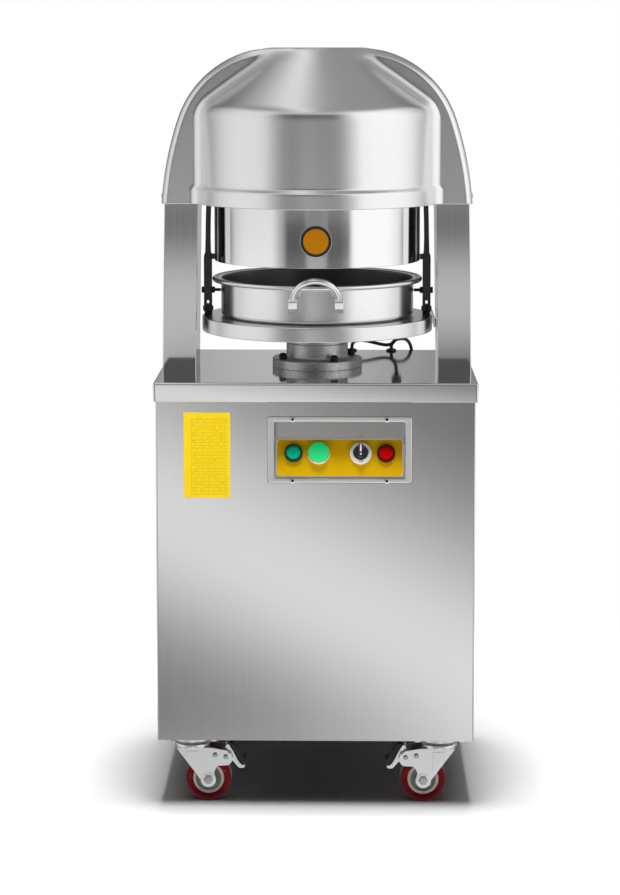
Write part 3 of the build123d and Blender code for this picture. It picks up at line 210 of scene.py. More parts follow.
# %% [markdown]
# Polished steel is mostly a picture of the room, so the room is the real material here. Painting
# the sheen on the panels would look wrong from any other side, so the sky is a studio instead.
# Rays that the camera sees directly meet plain white, and diffuse rays meet light from straight
# above and from below. Reflected rays meet the studio: a dim wall in front, a tall soft box on
# each side, and a slanted pale board low in front that puts the diagonal sheen on the flat
# panels. All its edges are angles in degrees.

# %% Directions in the room
world = bpy.data.worlds.new("studio_room")
scene.world = world
world.use_nodes = True
room = Tree(world.node_tree)
room.tree.nodes.clear()
rightwards, backwards, upwards = room.split(room.node("ShaderNodeTexCoord", out=0))
DEGREE = 180.0 / pi
azimuth = rightwards.maths("ARCTAN2", backwards * -1.0) * DEGREE
lift = upwards.maths("ARCSINE") * DEGREE
around = azimuth.maths("ABSOLUTE")
right_side = rightwards.rise(-0.14, 0.14)
above_drum = lift.rise(-4.3, -2.9)
drum_zone = lift.span(-5.8, -5.4, -4.1, -3.6)
nearer = around + right_side * (above_drum * 5.0 + 7.0)
print("directions are ready")

# %% Front of the room
past_board = lift + 13.9 + azimuth * 0.475
board_width = past_board.rise(-1.0, 1.0) * 1.2 + 2.4
slanted_board = (past_board / board_width).bell() * lift.fall(-7.9, -6.9)
low_band = (lift - azimuth * 0.03).rise(-7.85, -6.85) * lift.fall(-5.7, -4.5)
low_band = low_band * (1.0 - around.rise(6.0, 13.0) * 0.55)
high_room = above_drum * (0.28 - lift.rise(-2.6, -0.2) * 0.31) * (around.rise(6.0, 12.0) * 1.1 + 1.0)
high_room = high_room + lift.rise(22.0, 30.0) * 0.50
floor_glow = lift.fall(-21.0, -15.5)
dark_strip = drum_zone * around.rise(10.0, 15.0) * (around - right_side * 3.0).fall(31.0, 38.0)
front_room = slanted_board * 0.80 + low_band * 0.48 + high_room + floor_glow * 0.80 + 0.12
front_room = front_room * (1.0 - dark_strip * 0.96)
print("the front has a slanted board and two dark strips")

# %% Sides, back and ceiling of the room
soft_box = nearer.rise(29.0, 53.0) * (1.0 - around.rise(80.0, 140.0) * 0.62)
dark_edge = drum_zone * around.span(102.0, 120.0, 164.0, 172.0)
low_shade = lift.rise(-19.0, -8.0) * 0.5 + 0.5
box_light = right_side * 0.32 + 0.84 + (1.0 - right_side) * lift.fall(-5.8, -4.4) * 0.16
side_light = soft_box * box_light * (1.0 - dark_edge * 0.97) * (1.0 - dark_strip * 0.98) * low_shade
behind = around.rise(124.0, 138.0)
back_wall = behind * lift.rise(1.0, 4.0)
wall_light = ((rightwards + 0.03) / 0.07).bell() * 0.36
back_sheen = ((lift + 12.5 + rightwards * 30.0) / 4.0).bell()
back_floor = behind * lift.fall(-7.6, -6.8) * (back_sheen * 0.42 - 0.02)
side_light = side_light * (1.0 - back_wall * 0.62) + back_wall * wall_light
below = front_room * nearer.fall(30.0, 46.0) + side_light + back_floor + 0.015
ceiling = lift.rise(34.0, 54.0)
ceiling_light = ((rightwards + 0.19) / 0.15).bell() * 0.64 + 0.33
mirror_room = below * (1.0 - ceiling) + ceiling_light * ceiling
print("the sides have a soft box each")

# %% What each kind of ray meets
rays = room.node("ShaderNodeLightPath").socket.node.outputs
seen = Wire(room.tree, rays["Is Camera Ray"])
mirrored = Wire(room.tree, rays["Is Glossy Ray"])
even_light = lift.rise(55.0, 72.0) * 1.2 + lift.fall(-5.0, 1.0) * 2.0
light = mirror_room * mirrored + (1.0 - mirrored) * even_light
inputs = {"Color": (1.0, 1.0, 1.0, 1.0), "Strength": light * (1.0 - seen) + seen}
backdrop = room.node("ShaderNodeBackground", inputs=inputs)
plug(room.tree, room.tree.nodes.new("ShaderNodeOutputWorld").inputs["Surface"], backdrop)
print("studio room with", len(room.tree.nodes), "nodes")

# %% [markdown]
# One long soft lamp hangs over the machine, so the floor is white and dark only under and beside
# the cabinet, as in the picture. A second one with a narrow beam lights the floor in front of it.

# %% Overhead lamps and the floor


def overhead_lamp(name, width, depth, energy, spread, place):
    """A rectangular lamp that points straight down and isn't mirrored in the steel."""
    data = bpy.data.lights.new(name, "AREA")
    data.shape = "RECTANGLE"
    data.size = width
    data.size_y = depth
    data.energy = energy
    data.spread = radians(spread)
    lamp = bpy.data.objects.new(name, data)
    lamp.visible_glossy = False
    lamp.location = place
    scene.collection.objects.link(lamp)


overhead_lamp("long_lamp", width=0.9, depth=2.2, energy=130.0, spread=180.0, place=(0.0, -0.05, 3.2))
overhead_lamp("front_lamp", width=1.4, depth=0.7, energy=2.6, spread=4.0, place=(0.0, -0.62, 3.0))

floor_finish = Finish("floor_pale", roughness=0.9)
speckle = floor_finish.grain(60.0, 2.0)
floor_finish.feed(base_color=floor_finish.mix(speckle, (0.93, 0.93, 0.93, 1), (0.96, 0.96, 0.96, 1)))
FLOOR_SIDE, FLOOR_FRONT, FLOOR_BACK = 1.0, -0.62, 0.95
floor_mesh = bpy.data.meshes.new("floor")
floor_corners = [(-FLOOR_SIDE, FLOOR_FRONT, 0), (FLOOR_SIDE, FLOOR_FRONT, 0)]
floor_corners += [(FLOOR_SIDE, FLOOR_BACK, 0), (-FLOOR_SIDE, FLOOR_BACK, 0)]
floor_mesh.from_pydata(floor_corners, [], [(0, 1, 2, 3)])
floor_mesh.materials.append(floor_finish.material)
floor = bpy.data.objects.new("floor", floor_mesh)
scene.collection.objects.link(floor)
floor.visible_glossy = False
print("two overhead lamps and a pale floor")

# %% [markdown]
# Stainless sheet is brushed, pressed or turned. All three are the same bright metal: what
# differs is the direction of the fine lines. Noise that is drawn out along one axis gives the
# brushing, and noise on radius and height gives the rings that a lathe leaves.

# %% Steel finishes


def brushed_steel(name, shade, rough, lines):
    """Sheet with fine lines: lines holds the noise scale along x, y and z."""
    finish = Finish(name, metallic=1.0)
    brushing = finish.grain(1.0, 2.0, lines)
    clouds = finish.grain(4.0, 2.0)
    tone = brushing * 0.55 + clouds * 0.45
    finish.feed(
        base_color=finish.tint(tone, shade, 0.95),
        roughness=brushing * 0.03 + clouds * 0.02 + (rough - 0.025),
    )
    finish.bump(brushing, 0.02, 0.0004)
    return finish


def turned_steel(name, shade, rough, pitch=700.0, depth=0.04):
    """Metal from a lathe, with rings round the machine's axis."""
    finish = Finish(name, metallic=1.0)
    x, y, z = finish.split(finish.place())
    radius = (x * x + y * y).maths("SQRT")
    across = finish.node("ShaderNodeCombineXYZ", inputs={0: radius, 1: 0.0, 2: z})
    inputs = {"Vector": across, "Scale": pitch, "Detail": 2.0}
    rings = finish.node("ShaderNodeTexNoise", {"noise_dimensions": "3D"}, inputs)
    clouds = finish.grain(9.0, 3.0)
    finish.feed(
        base_color=finish.tint(rings * 0.5 + clouds * 0.5, shade, 0.93),
        roughness=rings * 0.05 + clouds * 0.05 + (rough - 0.05),
    )
    finish.bump(rings, depth, 0.0003)
    return finish


def cast_metal(name, shade, metallic, grain=520.0, depth=0.55):
    """Bare casting: a sandy skin with dark pits."""
    finish = Finish(name, metallic=metallic)
    sand = finish.grain(grain, 4.0)
    patches = finish.grain(35.0, 3.0)
    pits = sand.rise(0.34, 0.56)
    finish.feed(
        base_color=finish.tint(pits * 0.7 + patches * 0.3, shade, 0.45),
        roughness=0.50 - sand * 0.26,
    )
    finish.bump(sand, depth, 0.0009)
    return finish


panel_steel = brushed_steel("panel_steel", (0.80, 0.80, 0.795), 0.085, (700.0, 700.0, 5.0))
top_steel = brushed_steel("top_steel", (0.80, 0.80, 0.795), 0.09, (5.0, 700.0, 700.0))
column_steel = brushed_steel("column_steel", (0.80, 0.80, 0.795), 0.07, (700.0, 700.0, 5.0))
hood_steel = brushed_steel("hood_steel", (0.81, 0.81, 0.805), 0.25, (160.0, 160.0, 160.0))
# A darker copy of the panel steel for the console recess, which paints the shade that falls in it.
recess_steel = brushed_steel("recess_steel", (0.52, 0.51, 0.49), 0.16, (5.0, 500.0, 500.0))
bright_steel = turned_steel("bright_steel", (0.84, 0.84, 0.835), 0.13)
drum_steel = turned_steel("drum_steel", (0.84, 0.84, 0.835), 0.09, 700.0, 0.004)
bowl_steel = turned_steel("bowl_steel", (0.84, 0.84, 0.835), 0.26, 700.0, 0.001)
plate_steel = turned_steel("plate_steel", (0.80, 0.80, 0.795), 0.25, 700.0, 0.010)
handle_steel = brushed_steel("handle_steel", (0.80, 0.80, 0.795), 0.17, (90.0, 90.0, 90.0))
# A dark steel for the bowl's inside: painted shade and painted dark reflection.
bowl_lining = turned_steel("bowl_lining", (0.27, 0.27, 0.27), 0.38, 500.0)
ground_steel = turned_steel("ground_steel", (0.60, 0.61, 0.62), 0.20, 900.0)
cast_iron = cast_metal("cast_iron", (0.66, 0.66, 0.665), 0.9)
machined_iron = cast_metal("machined_iron", (0.30, 0.30, 0.31), 0.8, 300.0, 0.2)
bronze_metal = turned_steel("bronze_metal", (0.60, 0.40, 0.17), 0.24)
alloy_metal = turned_steel("alloy_metal", (0.66, 0.67, 0.68), 0.26)
bezel_steel = brushed_steel("bezel_steel", (0.86, 0.86, 0.865), 0.30, (90.0, 90.0, 90.0))
zinc_plate = brushed_steel("zinc_plate", (0.86, 0.86, 0.865), 0.26, (90.0, 90.0, 90.0))
# A darker copy of the zinc for nuts and rivets, which paints the shade round them.
bolt_zinc = brushed_steel("bolt_zinc", (0.46, 0.46, 0.465), 0.20, (90.0, 90.0, 90.0))
spring_wire = brushed_steel("spring_wire", (0.42, 0.42, 0.43), 0.28, (300.0, 300.0, 300.0))
print(len(bpy.data.materials), "materials so far")

# %% [markdown]
# Painted and moulded surfaces have their own grain: a paint film is slightly wavy, a moulded
# cap is almost smooth, and rubber is dull and speckled. One helper takes the sizes of these.

# %% Paint, plastic and rubber finishes


def coated(name, shade, rough, grain=400.0, depth=0.05, vary=0.12, metallic=0.0, shine=0.5):
    """A skin of paint, plastic or rubber, with its own grain and a slow change of tone."""
    finish = Finish(name, metallic=metallic, specular_ior_level=shine)
    skin = finish.grain(grain, 2.0)
    clouds = finish.grain(24.0, 3.0)
    finish.feed(
        base_color=finish.tint(clouds * 0.6 + skin * 0.4, shade, 1.0 - vary),
        roughness=skin * 0.08 + clouds * 0.06 + (rough - 0.07),
    )
    finish.bump(skin, depth, 0.0005)
    return finish


black_oxide = coated("black_oxide", (0.020, 0.020, 0.021), 0.42, 320.0, 0.10, 0.4, 0.5)
arm_paint = coated("arm_paint", (0.034, 0.034, 0.036), 0.34, 320.0, 0.10, 0.35)
underseal = coated("underseal", (0.018, 0.018, 0.018), 0.7, 260.0, 0.20, 0.3)
frame_primer = coated("frame_primer", (0.24, 0.26, 0.27), 0.55, 180.0, 0.12)
motor_enamel = coated("motor_enamel", (0.13, 0.20, 0.26), 0.38, 120.0, 0.12, 0.15)
grey_moulding = coated("grey_moulding", (0.42, 0.43, 0.43), 0.48)
black_moulding = coated("black_moulding", (0.014, 0.014, 0.015), 0.36, 600.0, 0.04, 0.3)
cable_sheath = coated("cable_sheath", (0.012, 0.012, 0.012), 0.40, 700.0, 0.05, 0.3)
dull_rubber = coated("dull_rubber", (0.016, 0.016, 0.016), 0.62, 500.0, 0.16, 0.35)
amber_print = coated("amber_print", (0.84, 0.49, 0.004), 0.34, 900.0, 0.02, 0.14, 0.0, 0.05)
green_glass = coated("green_glass", (0.003, 0.48, 0.28), 0.16, 300.0, 0.02, 0.2, 0.0, 0.06)
green_rim = coated("green_rim", (0.003, 0.045, 0.028), 0.24, 500.0, 0.02, 0.2, 0.0, 0.25)
red_glass = coated("red_glass", (0.64, 0.001, 0.002), 0.16, 300.0, 0.02, 0.2, 0.0, 0.06)
red_rim = coated("red_rim", (0.055, 0.003, 0.003), 0.24, 500.0, 0.02, 0.2, 0.0, 0.25)
green_button = coated("green_button", (0.030, 0.82, 0.24), 0.28, 500.0, 0.02, 0.08, 0.0, 0.1)
white_ring = coated("white_ring", (0.80, 0.80, 0.79), 0.26, 500.0, 0.02, 0.05, 0.0, 0.4)
tyre_red = coated("tyre_red", (0.24, 0.003, 0.008), 0.34, 260.0, 0.05, 0.35, 0.0, 0.12)
hub_grey = coated("hub_grey", (0.29, 0.34, 0.28), 0.45, 400.0, 0.06, 0.2)
hub_beige = coated("hub_beige", (0.70, 0.64, 0.56), 0.42, 400.0, 0.05, 0.12)
badge_orange = coated("badge_orange", (0.50, 0.185, 0.001), 0.30, 900.0, 0.02, 0.12, 0.0, 0.05)
print(len(bpy.data.materials), "materials in all")

# %% [markdown]
# Many CAD solids already have the right shape, above all the flat sheets and everything that
# is closed up inside the cabinet. They keep their meshes and only change their material.

# %% Dress the CAD solids that stay


def dress(finish, *nodes):
    """Give CAD nodes a finish. Their meshes stay as they are."""
    for node in nodes:
        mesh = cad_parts[node].data
        mesh.materials.clear()
        mesh.materials.append(finish.material)


dress(panel_steel, "front_panel", "side_panels", "back_panel")
# The base pan is dressed almost black, which paints the shade under the cabinet.
dress(underseal, "base_pan")
dress(column_steel, "left_column", "right_column")
dress(recess_steel, "control_recess")
dress(frame_primer, "base_frame", "deck_plate", "head_frame")
dress(bronze_metal, "guide_bush", "screw_nut")
dress(ground_steel, "ram", "lead_screw")
dress(bright_steel, "knife_grid")
dress(alloy_metal, "press_blocks")
dress(machined_iron, "bearing_housing", "screw_pulley", "motor_pulley")
dress(dull_rubber, "v_belt")
dress(motor_enamel, "motor")
dress(grey_moulding, "electrical_box")
dress(black_moulding, "mains_gland")
dress(zinc_plate, "caster_plates")
dress(black_oxide, "arm_brackets")
print("dressed the CAD solids that stay")

# %% [markdown]
# A new piece is a set of closed shells. Each shell is lofted through loops of points, which
# covers turned pieces, flat plates with soft edges, bent bars and frames. One class gathers the
# shells in millimetres, and a place function puts them where the CAD solid is.

# %% Outlines


def soften(points, closed=True, steps=4):
    """Round the corners of an outline of (a, b) or (a, b, radius) points."""
    outline = []
    for index, (a, b, *radius) in enumerate(points):
        here = Vector((a, b))
        at_end = not closed and index in (0, len(points) - 1)
        if not radius or at_end:
            outline.append(here)
            continue
        before = Vector(points[index - 1][:2]) - here
        after = Vector(points[(index + 1) % len(points)][:2]) - here
        reach = radius[0] / tan(before.angle(after) / 2)
        reach = min(reach, 0.49 * before.length, 0.49 * after.length)
        start = here + before.normalized() * reach
        end = here + after.normalized() * reach
        for step in range(steps + 1):
            t = step / steps
            outline.append(start * (1 - t) ** 2 + here * 2 * t * (1 - t) + end * t * t)
    return outline


def inset(outline, depth):
    """Move the points of a closed outline inwards."""
    pairs = zip(outline, outline[1:] + outline[:1])
    way = 1.0 if sum(p.x * q.y - q.x * p.y for p, q in pairs) > 0 else -1.0
    moved = []
    for index, here in enumerate(outline):
        before = (here - outline[index - 1]).normalized()
        after = (outline[(index + 1) % len(outline)] - here).normalized()
        along = (before + after).normalized()
        inward = Vector((-along.y, along.x)) * way
        moved.append(here + inward * depth / max(0.5, along.dot(before)))
    return moved


def rounded_box(half_width, half_height, corner):
    """A rectangle with round corners, always with the same number of points."""
    corners = [(half_width, half_height), (-half_width, half_height)]
    corners += [(-half_width, -half_height), (half_width, -half_height)]
    return soften([(a, b, corner) for a, b in corners], steps=6)


def at(x=0.0, y=0.0, z=0.0, across=(1, 0, 0), up=(0, 0, 1)):
    """Where a shape's axes go: its first along across and its third along up."""
    origin = Vector((x, y, z))
    first = Vector(across).normalized()
    third = Vector(up).normalized()
    second = third.cross(first)
    return lambda p: (origin + first * p[0] + second * p[1] + third * p[2]) * MM


print("outlines are ready")

# %% Shapes from loops


class Shape:
    """A mesh in the making that gathers lofted shells."""

    def __init__(self):
        self.mesh = bmesh.new()

    def loft(self, loops, place, ring=False, shade=0):
        """Join loops of equal length, closing both ends unless the loops form a ring."""
        rows = [[self.mesh.verts.new(place(point)) for point in loop] for loop in loops]
        pairs = list(zip(rows, rows[1:]))
        faces = []
        if ring:
            pairs.append((rows[-1], rows[0]))
        else:
            faces += [self.mesh.faces.new(rows[0]), self.mesh.faces.new(rows[-1])]
        for low, high in pairs:
            for k in range(len(low)):
                n = (k + 1) % len(low)
                faces.append(self.mesh.faces.new((low[k], low[n], high[n], high[k])))
        bmesh.ops.recalc_face_normals(self.mesh, faces=faces)
        for face in faces:
            face.material_index = shade
        return faces

    def turn(self, profile, place, ring=False, shade=0, segments=96):
        """Spin a profile of (radius, height) round the third axis."""
        spokes = [(cos(2 * pi * k / segments), sin(2 * pi * k / segments)) for k in range(segments)]
        loops = [[(r * c, r * s, height) for c, s in spokes] for r, height in profile]
        return self.loft(loops, place, ring, shade)

    def plate(self, outline, low, high, place, soft=0.5, shade=0):
        """A flat plate between two heights with soft edges."""
        steps = [(soft, low), (soft * 0.3, low + soft * 0.3), (0.0, low + soft)]
        steps += [(0.0, high - soft), (soft * 0.3, high - soft * 0.3), (soft, high)]
        loops = [[(p.x, p.y, height) for p in inset(outline, depth)] for depth, height in steps]
        return self.loft(loops, place, shade=shade)

    def spin(self, points, place, shade=0, segments=96, steps=4):
        """Turn an open profile, rounding its corners first."""
        return self.turn(soften(points, closed=False, steps=steps), place, shade=shade, segments=segments)

    def bar(self, path, radius, place, segments=20):
        """A round bar along a path that lies flat in the first two axes."""
        loops = []
        for index, here in enumerate(path):
            ahead = path[min(index + 1, len(path) - 1)]
            along = (ahead - path[max(index - 1, 0)]).normalized()
            side = Vector((-along.y, along.x))
            turns = [2 * pi * k / segments for k in range(segments)]
            loops.append([(*(here + side * radius * cos(a)), radius * sin(a)) for a in turns])
        return self.loft(loops, place)

    def pierced(self, loops, place):
        """A flat face with holes: the first loop is its border, the others are holes."""
        edges = []
        for loop in loops:
            corners = [self.mesh.verts.new(place(point)) for point in loop]
            edges += [self.mesh.edges.new(pair) for pair in zip(corners, corners[1:] + corners[:1])]
        bmesh.ops.triangle_fill(self.mesh, use_beauty=True, edges=edges)

    def weld(self):
        """Join shells that share their borders into one closed shell."""
        bmesh.ops.remove_doubles(self.mesh, verts=self.mesh.verts, dist=0.00001)
        bmesh.ops.recalc_face_normals(self.mesh, faces=self.mesh.faces)

    def piece(self, name, finishes, body, slot, *nodes):
        """Finish the mesh and put it into the scene."""
        mesh = bpy.data.meshes.new(name)
        self.mesh.to_mesh(mesh)
        self.mesh.free()
        for finish in finishes:
            mesh.materials.append(finish.material)
        return add_piece(name, mesh, body, slot, *nodes)


SHARP_ANGLE = 40.0


def add_piece(name, mesh, body, slot, *nodes):
    """Put a mesh into the scene as a piece on a body that stands for CAD nodes."""
    mesh.shade_smooth()
    mesh.set_sharp_from_angle(angle=radians(SHARP_ANGLE))
    piece = bpy.data.objects.new(name, mesh)
    scene.collection.objects.link(piece)
    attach(piece, body)
    if nodes:
        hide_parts(*nodes)
    even = piece.modifiers.new("even_normals", "WEIGHTED_NORMAL")
    even.keep_sharp = True
    print(name, "with", len(mesh.polygons), "faces on", body)
    return piece


def hexagon(radius):
    """The six corners of a nut."""
    return [Vector((radius * cos(pi * k / 3), radius * sin(pi * k / 3))) for k in range(6)]


print("shapes are ready")

# %% [markdown]
# The hood is one pressed sheet: an arched slab over the two columns and a round barrel with a
# cone, melted together. Lofting cannot make those soft valleys, so the hood is written as a
# distance: two forms, a rounded edge where they end and a fillet where they join. Rays from the
# axis then find the skin by halving, and each row of rays crowds where the skin bends.

# %% Hood as a distance
FLANK_ARC = (-296.28, 943.858, 555.956)
CROWN_ARC = (67.724, 1066.216, 171.938)
SHOULDER = (230.7, 1121.0)
HOOD_TOP = 1238.0
SLAB_HALF_DEPTH = 63.0
BEVEL_ANGLE = radians(52)
BEVEL_DROP = 7.5
BARREL_RADIUS = 203.0
BARREL_TOP = 1138.0
BAND_STEP, BAND_LOW, BAND_HIGH = 4.8, 1003, 1013
CONE_WIDTH, CONE_HEIGHT, CONE_SLANT = 128.0, 100.0, 162.43
FOLD_ROUND, BEVEL_ROUND, CONE_ROUND, TOP_ROUND = 1.0, 3.5, 9.0, 6.0
VALLEY_FILLET = 14.0
RAY_REACH, HALVINGS = 330.0, 40


def overlap(a, b, radius):
    """The form inside both, with its edge rounded."""
    corner = np.hypot(np.maximum(radius + a, 0), np.maximum(radius + b, 0))
    return np.minimum(-radius, np.maximum(a, b)) + corner


def merged(a, b, radius):
    """The form inside either, with a fillet in the valley."""
    corner = np.hypot(np.maximum(radius - a, 0), np.maximum(radius - b, 0))
    return np.maximum(radius, np.minimum(a, b)) - corner


def eased(value, start, end):
    """A smooth step from 0 at start to 1 at end."""
    t = np.clip((value - start) / (end - start), 0, 1)
    return t * t * (3 - 2 * t)


def hood_distance(x, y, z):
    """How far a point is outside the hood's skin, in millimetres."""
    wide = np.abs(x)
    radius = np.hypot(x, y)
    flank, crown = (np.hypot(wide - a, z - b) - r for a, b, r in (FLANK_ARC, CROWN_ARC))
    lean = (wide - FLANK_ARC[0]) * (SHOULDER[1] - FLANK_ARC[1])
    low = lean > (z - FLANK_ARC[1]) * (SHOULDER[0] - FLANK_ARC[0])
    arch = np.where(low, flank, crown)
    front = np.abs(y) - SLAB_HALF_DEPTH
    bevel = (arch + BEVEL_DROP) * sin(BEVEL_ANGLE) + front * cos(BEVEL_ANGLE)
    slab = overlap(overlap(arch, front, FOLD_ROUND), bevel, BEVEL_ROUND)
    barrel = radius - BARREL_RADIUS - BAND_STEP * eased(-z, -BAND_HIGH, -BAND_LOW)
    cone = ((radius - BARREL_RADIUS) * CONE_HEIGHT + (z - BARREL_TOP) * CONE_WIDTH) / CONE_SLANT
    dome = overlap(barrel, cone, CONE_ROUND)
    return overlap(merged(slab, dome, VALLEY_FILLET), z - HOOD_TOP, TOP_ROUND)


def hood_points(starts, lifts, turns):
    """Where rays from the axis meet the skin: one row for each start height and lift angle."""
    level, rise = np.cos(lifts)[:, None], np.sin(lifts)[:, None]
    near, far = np.zeros_like(turns), np.full_like(turns, RAY_REACH)
    for _ in range(HALVINGS):
        middle = (near + far) / 2
        flat = middle * level
        place = flat * np.cos(turns), flat * np.sin(turns), starts[:, None] + middle * rise
        inside = hood_distance(*place) < 0
        near, far = np.where(inside, middle, near), np.where(inside, far, middle)
    return np.stack(place, axis=-1)


print("distance at the crown", round(float(hood_distance(0.0, 0.0, HOOD_TOP)), 2))

# %% Hood mesh
COLUMNS = 300
FINE_STEPS = 2401
BEND_SHARE = 9.0
ROW_CENTRE = 1060.0
lower_rows = [980, 981, 983, 988, 994, 999, 1002, 1003.5, 1005, 1006.5, 1008, 1009.5, 1011, 1012.5, 1014]
lower_rows += [1018, 1025, 1033, 1041, 1050]
upper_rows = [0, 3, 6, 9, 12, 14.5, 16.5, 18, 19.2, 19.8, 20.2, 20.6, 21, 21.4, 21.8, 22.4, 23.4, 25, 27]
upper_rows += [29, 31.5, 34, 37, 40, 43, 46, 49, 52, 55, 58, 60.5, 62.5, 64, 65.2, 66.2, 67.2, 68.4]
upper_rows += [70, 73, 78, 84]
starts = np.array(lower_rows + [ROW_CENTRE] * len(upper_rows))
lifts = np.radians([0.0] * len(lower_rows) + upper_rows)
fine = np.tile(np.linspace(0, 2 * pi, FINE_STEPS), (len(starts), 1))
outline = hood_points(starts, lifts, fine)
steps = np.diff(outline[..., :2], axis=1)
length = np.hypot(steps[..., 0], steps[..., 1])
heading = np.unwrap(np.arctan2(steps[..., 1], steps[..., 0]), axis=1)
bend = np.abs(np.diff(heading, axis=1, append=heading[:, :1] + 2 * pi))
share = np.cumsum(length / length.sum(1, keepdims=True) + bend / BEND_SHARE, axis=1)
share = np.concatenate([np.zeros((len(starts), 1)), share / share[:, -1:]], axis=1)
wanted = np.arange(COLUMNS) / COLUMNS
turns = np.array([np.interp(wanted, row, angle) for row, angle in zip(share, fine)])
skin = hood_points(starts, lifts, turns)

hood_shape = Shape()
rows = [[hood_shape.mesh.verts.new(point * MM) for point in row] for row in skin]
for low_row, high_row in zip(rows, rows[1:]):
    for k in range(COLUMNS):
        n = (k + 1) % COLUMNS
        hood_shape.mesh.faces.new((low_row[k], low_row[n], high_row[n], high_row[k]))
hood_shape.mesh.faces.new(rows[-1])
hood = hood_shape.piece("hood_shell", [hood_steel], "cabinet", "satin_stainless", "hood")
wall = hood.modifiers.new("sheet", "SOLIDIFY")
wall.thickness = 1.5 * MM
wall.offset = -1.0
print("hood rows", len(rows), "columns", COLUMNS)

# %% [markdown]
# The drum, the bowl, the lift plate and the guide sleeve were all spun or turned, so each is one
# profile round the machine's axis. The real edges are never sharp: the profile rounds them, and
# those small radii are what catch the light.

# %% Guard drum
DRUM_RADIUS = 173.0
upright = at()
drum = Shape()
drum.turn(
    soften([(171.5, 883, 0.6), (DRUM_RADIUS, 883, 0.6), (DRUM_RADIUS, 1000, 0.6), (171.5, 1000, 0.6)]),
    upright, ring=True, segments=160,
)
drum.piece("drum_shell", [drum_steel], "lift", "bright_stainless", "guard_drum")

# %% [markdown]
# A round plain badge sits on the drum. It is turned flat, as a button would be, and a place
# function then bends it round the drum, so its edge lies close all the way.

# %% Badge
BADGE_HEIGHT = 927.0


def on_drum(point):
    """Bend a flat badge round the front of the drum."""
    turn = point[0] / DRUM_RADIUS
    radius = DRUM_RADIUS + point[2]
    return Vector((radius * sin(turn), -radius * cos(turn), BADGE_HEIGHT + point[1])) * MM


badge = Shape()
badge.spin([(25.9, -0.3), (25.9, 0.7, 0.3), (25.2, 0.7)], on_drum, segments=64)
badge.spin([(25.3, -0.3), (25.3, 1.0, 0.4), (20.4, 1.0)], on_drum, shade=1, segments=64)
badge.spin([(20.4, 0.2), (20.4, 1.2, 0.5), (12, 1.5, 8), (0.4, 1.55)], on_drum, shade=2, segments=64)
badge.piece("badge", [bezel_steel, black_moulding, badge_orange], "lift", "amber_plate")

# %% [markdown]
# The bowl is spun from one sheet and its rim is rolled into a bead, so its profile goes up the
# outside, round the bead and down the inside. The dark finish inside is painted shade and reflection.

# %% Bowl
PAINTED_SHADE_RADIUS, PAINTED_SHADE_HEIGHT = 161.0 * MM, 791.5 * MM
bead = [(172.8 + 4.0 * cos(radians(a)), 851.0 + 4.0 * sin(radians(a))) for a in range(-150, 151, 15)]
bowl_outside = soften([(1, 789), (162, 789, 8), (162, 848.4, 4), (168.6, 848.4)], closed=False, steps=6)
bowl_inside = soften([(168.6, 853.6), (160, 853.6, 4), (160, 792, 7), (1, 792)], closed=False, steps=6)
bowl = Shape()
walls = bowl.turn([*bowl_outside, *bead, *bowl_inside], upright, segments=160)
# Faces inside the bowl take the dark finish that paints its shade and reflections.
for face in walls:
    middle = face.calc_center_median()
    if middle.xy.length < PAINTED_SHADE_RADIUS and middle.z > PAINTED_SHADE_HEIGHT:
        face.material_index = 1
bowl.piece("bowl_shell", [bowl_steel, bowl_lining], "lift", "bright_stainless", "bowl")

# %% [markdown]
# The handle is a bent round bar that leans towards the baker, held by two cast lugs. A bar swept
# along half an ellipse gives the bend, and each lug is a plate with soft edges, seen from its side.

# %% Bowl handle
HANDLE_HALF = 37.5
handle_tilt = radians(25)
on_handle = at(0, -173, 832, up=(0, -cos(handle_tilt), -sin(handle_tilt)))
bow = [Vector((-HANDLE_HALF * cos(pi * k / 24), 35.5 * sin(pi * k / 24))) for k in range(25)]
left_end = [Vector((-HANDLE_HALF, depth)) for depth in (-20, -10)]
right_end = [Vector((HANDLE_HALF, depth)) for depth in (-10, -20)]
handle = Shape()
handle.bar([*left_end, *bow, *right_end], 5.0, on_handle, segments=24)
handle_lug = soften(
    [
        (-0.6, 812, 2), (-0.6, 829, 3), (8, 834.6, 2), (20, 834.6, 2.5),
        (22.6, 829, 5), (21, 819, 8), (14, 810.5, 6), (4, 809.2, 3),
    ],
    steps=5,
)
for side in (-1, 1):
    on_lug = at(side * HANDLE_HALF, -157.6, 0, across=(0, -1, 0), up=(-1, 0, 0))
    handle.plate(handle_lug, -7.6, 7.6, on_lug, 1.6, shade=1)
handle.piece("handle_bar", [handle_steel, bowl_steel], "lift", "bright_stainless", "bowl_handle")

# %% [markdown]
# The lift plate is a turned disc with a hub and a rim below, and the guide sleeve is a rough
# casting with a bolted flange. Both are again one profile each, only the sleeve's has a bore.

# %% Lift plate and guide sleeve
plate = Shape()
plate.spin(
    [
        (1, 773), (38.1, 773), (38.1, 765), (60, 765, 1.5), (60, 777, 4), (184, 777, 4), (184, 765, 1),
        (194, 765, 1.5), (194, 789, 2.5), (1, 789),
    ],
    upright, segments=160,
)
plate.piece("plate_disc", [plate_steel], "lift", "bright_stainless", "lift_plate")
sleeve = Shape()
sleeve.turn(
    soften(
        [
            (45.05, 640), (50, 640, 0.8), (50, 702), (75.5, 702, 0.8), (75.5, 717, 2.2), (52, 717, 6),
            (52, 741.5, 0.5), (51.2, 742.3), (52, 743.1, 0.5), (52, 764.6, 1.5), (45.05, 764.6),
        ],
    ),
    upright, ring=True,
)
sleeve.piece("sleeve_casting", [cast_iron], "cabinet", "cast_iron", "guide_sleeve")

# %% [markdown]
# The two black arms carry the drum. Each has a stout lower bar and a slimmer upper one that leans
# in to the drum. Both are lofted through rounded rectangles, so every long edge gets a highlight.

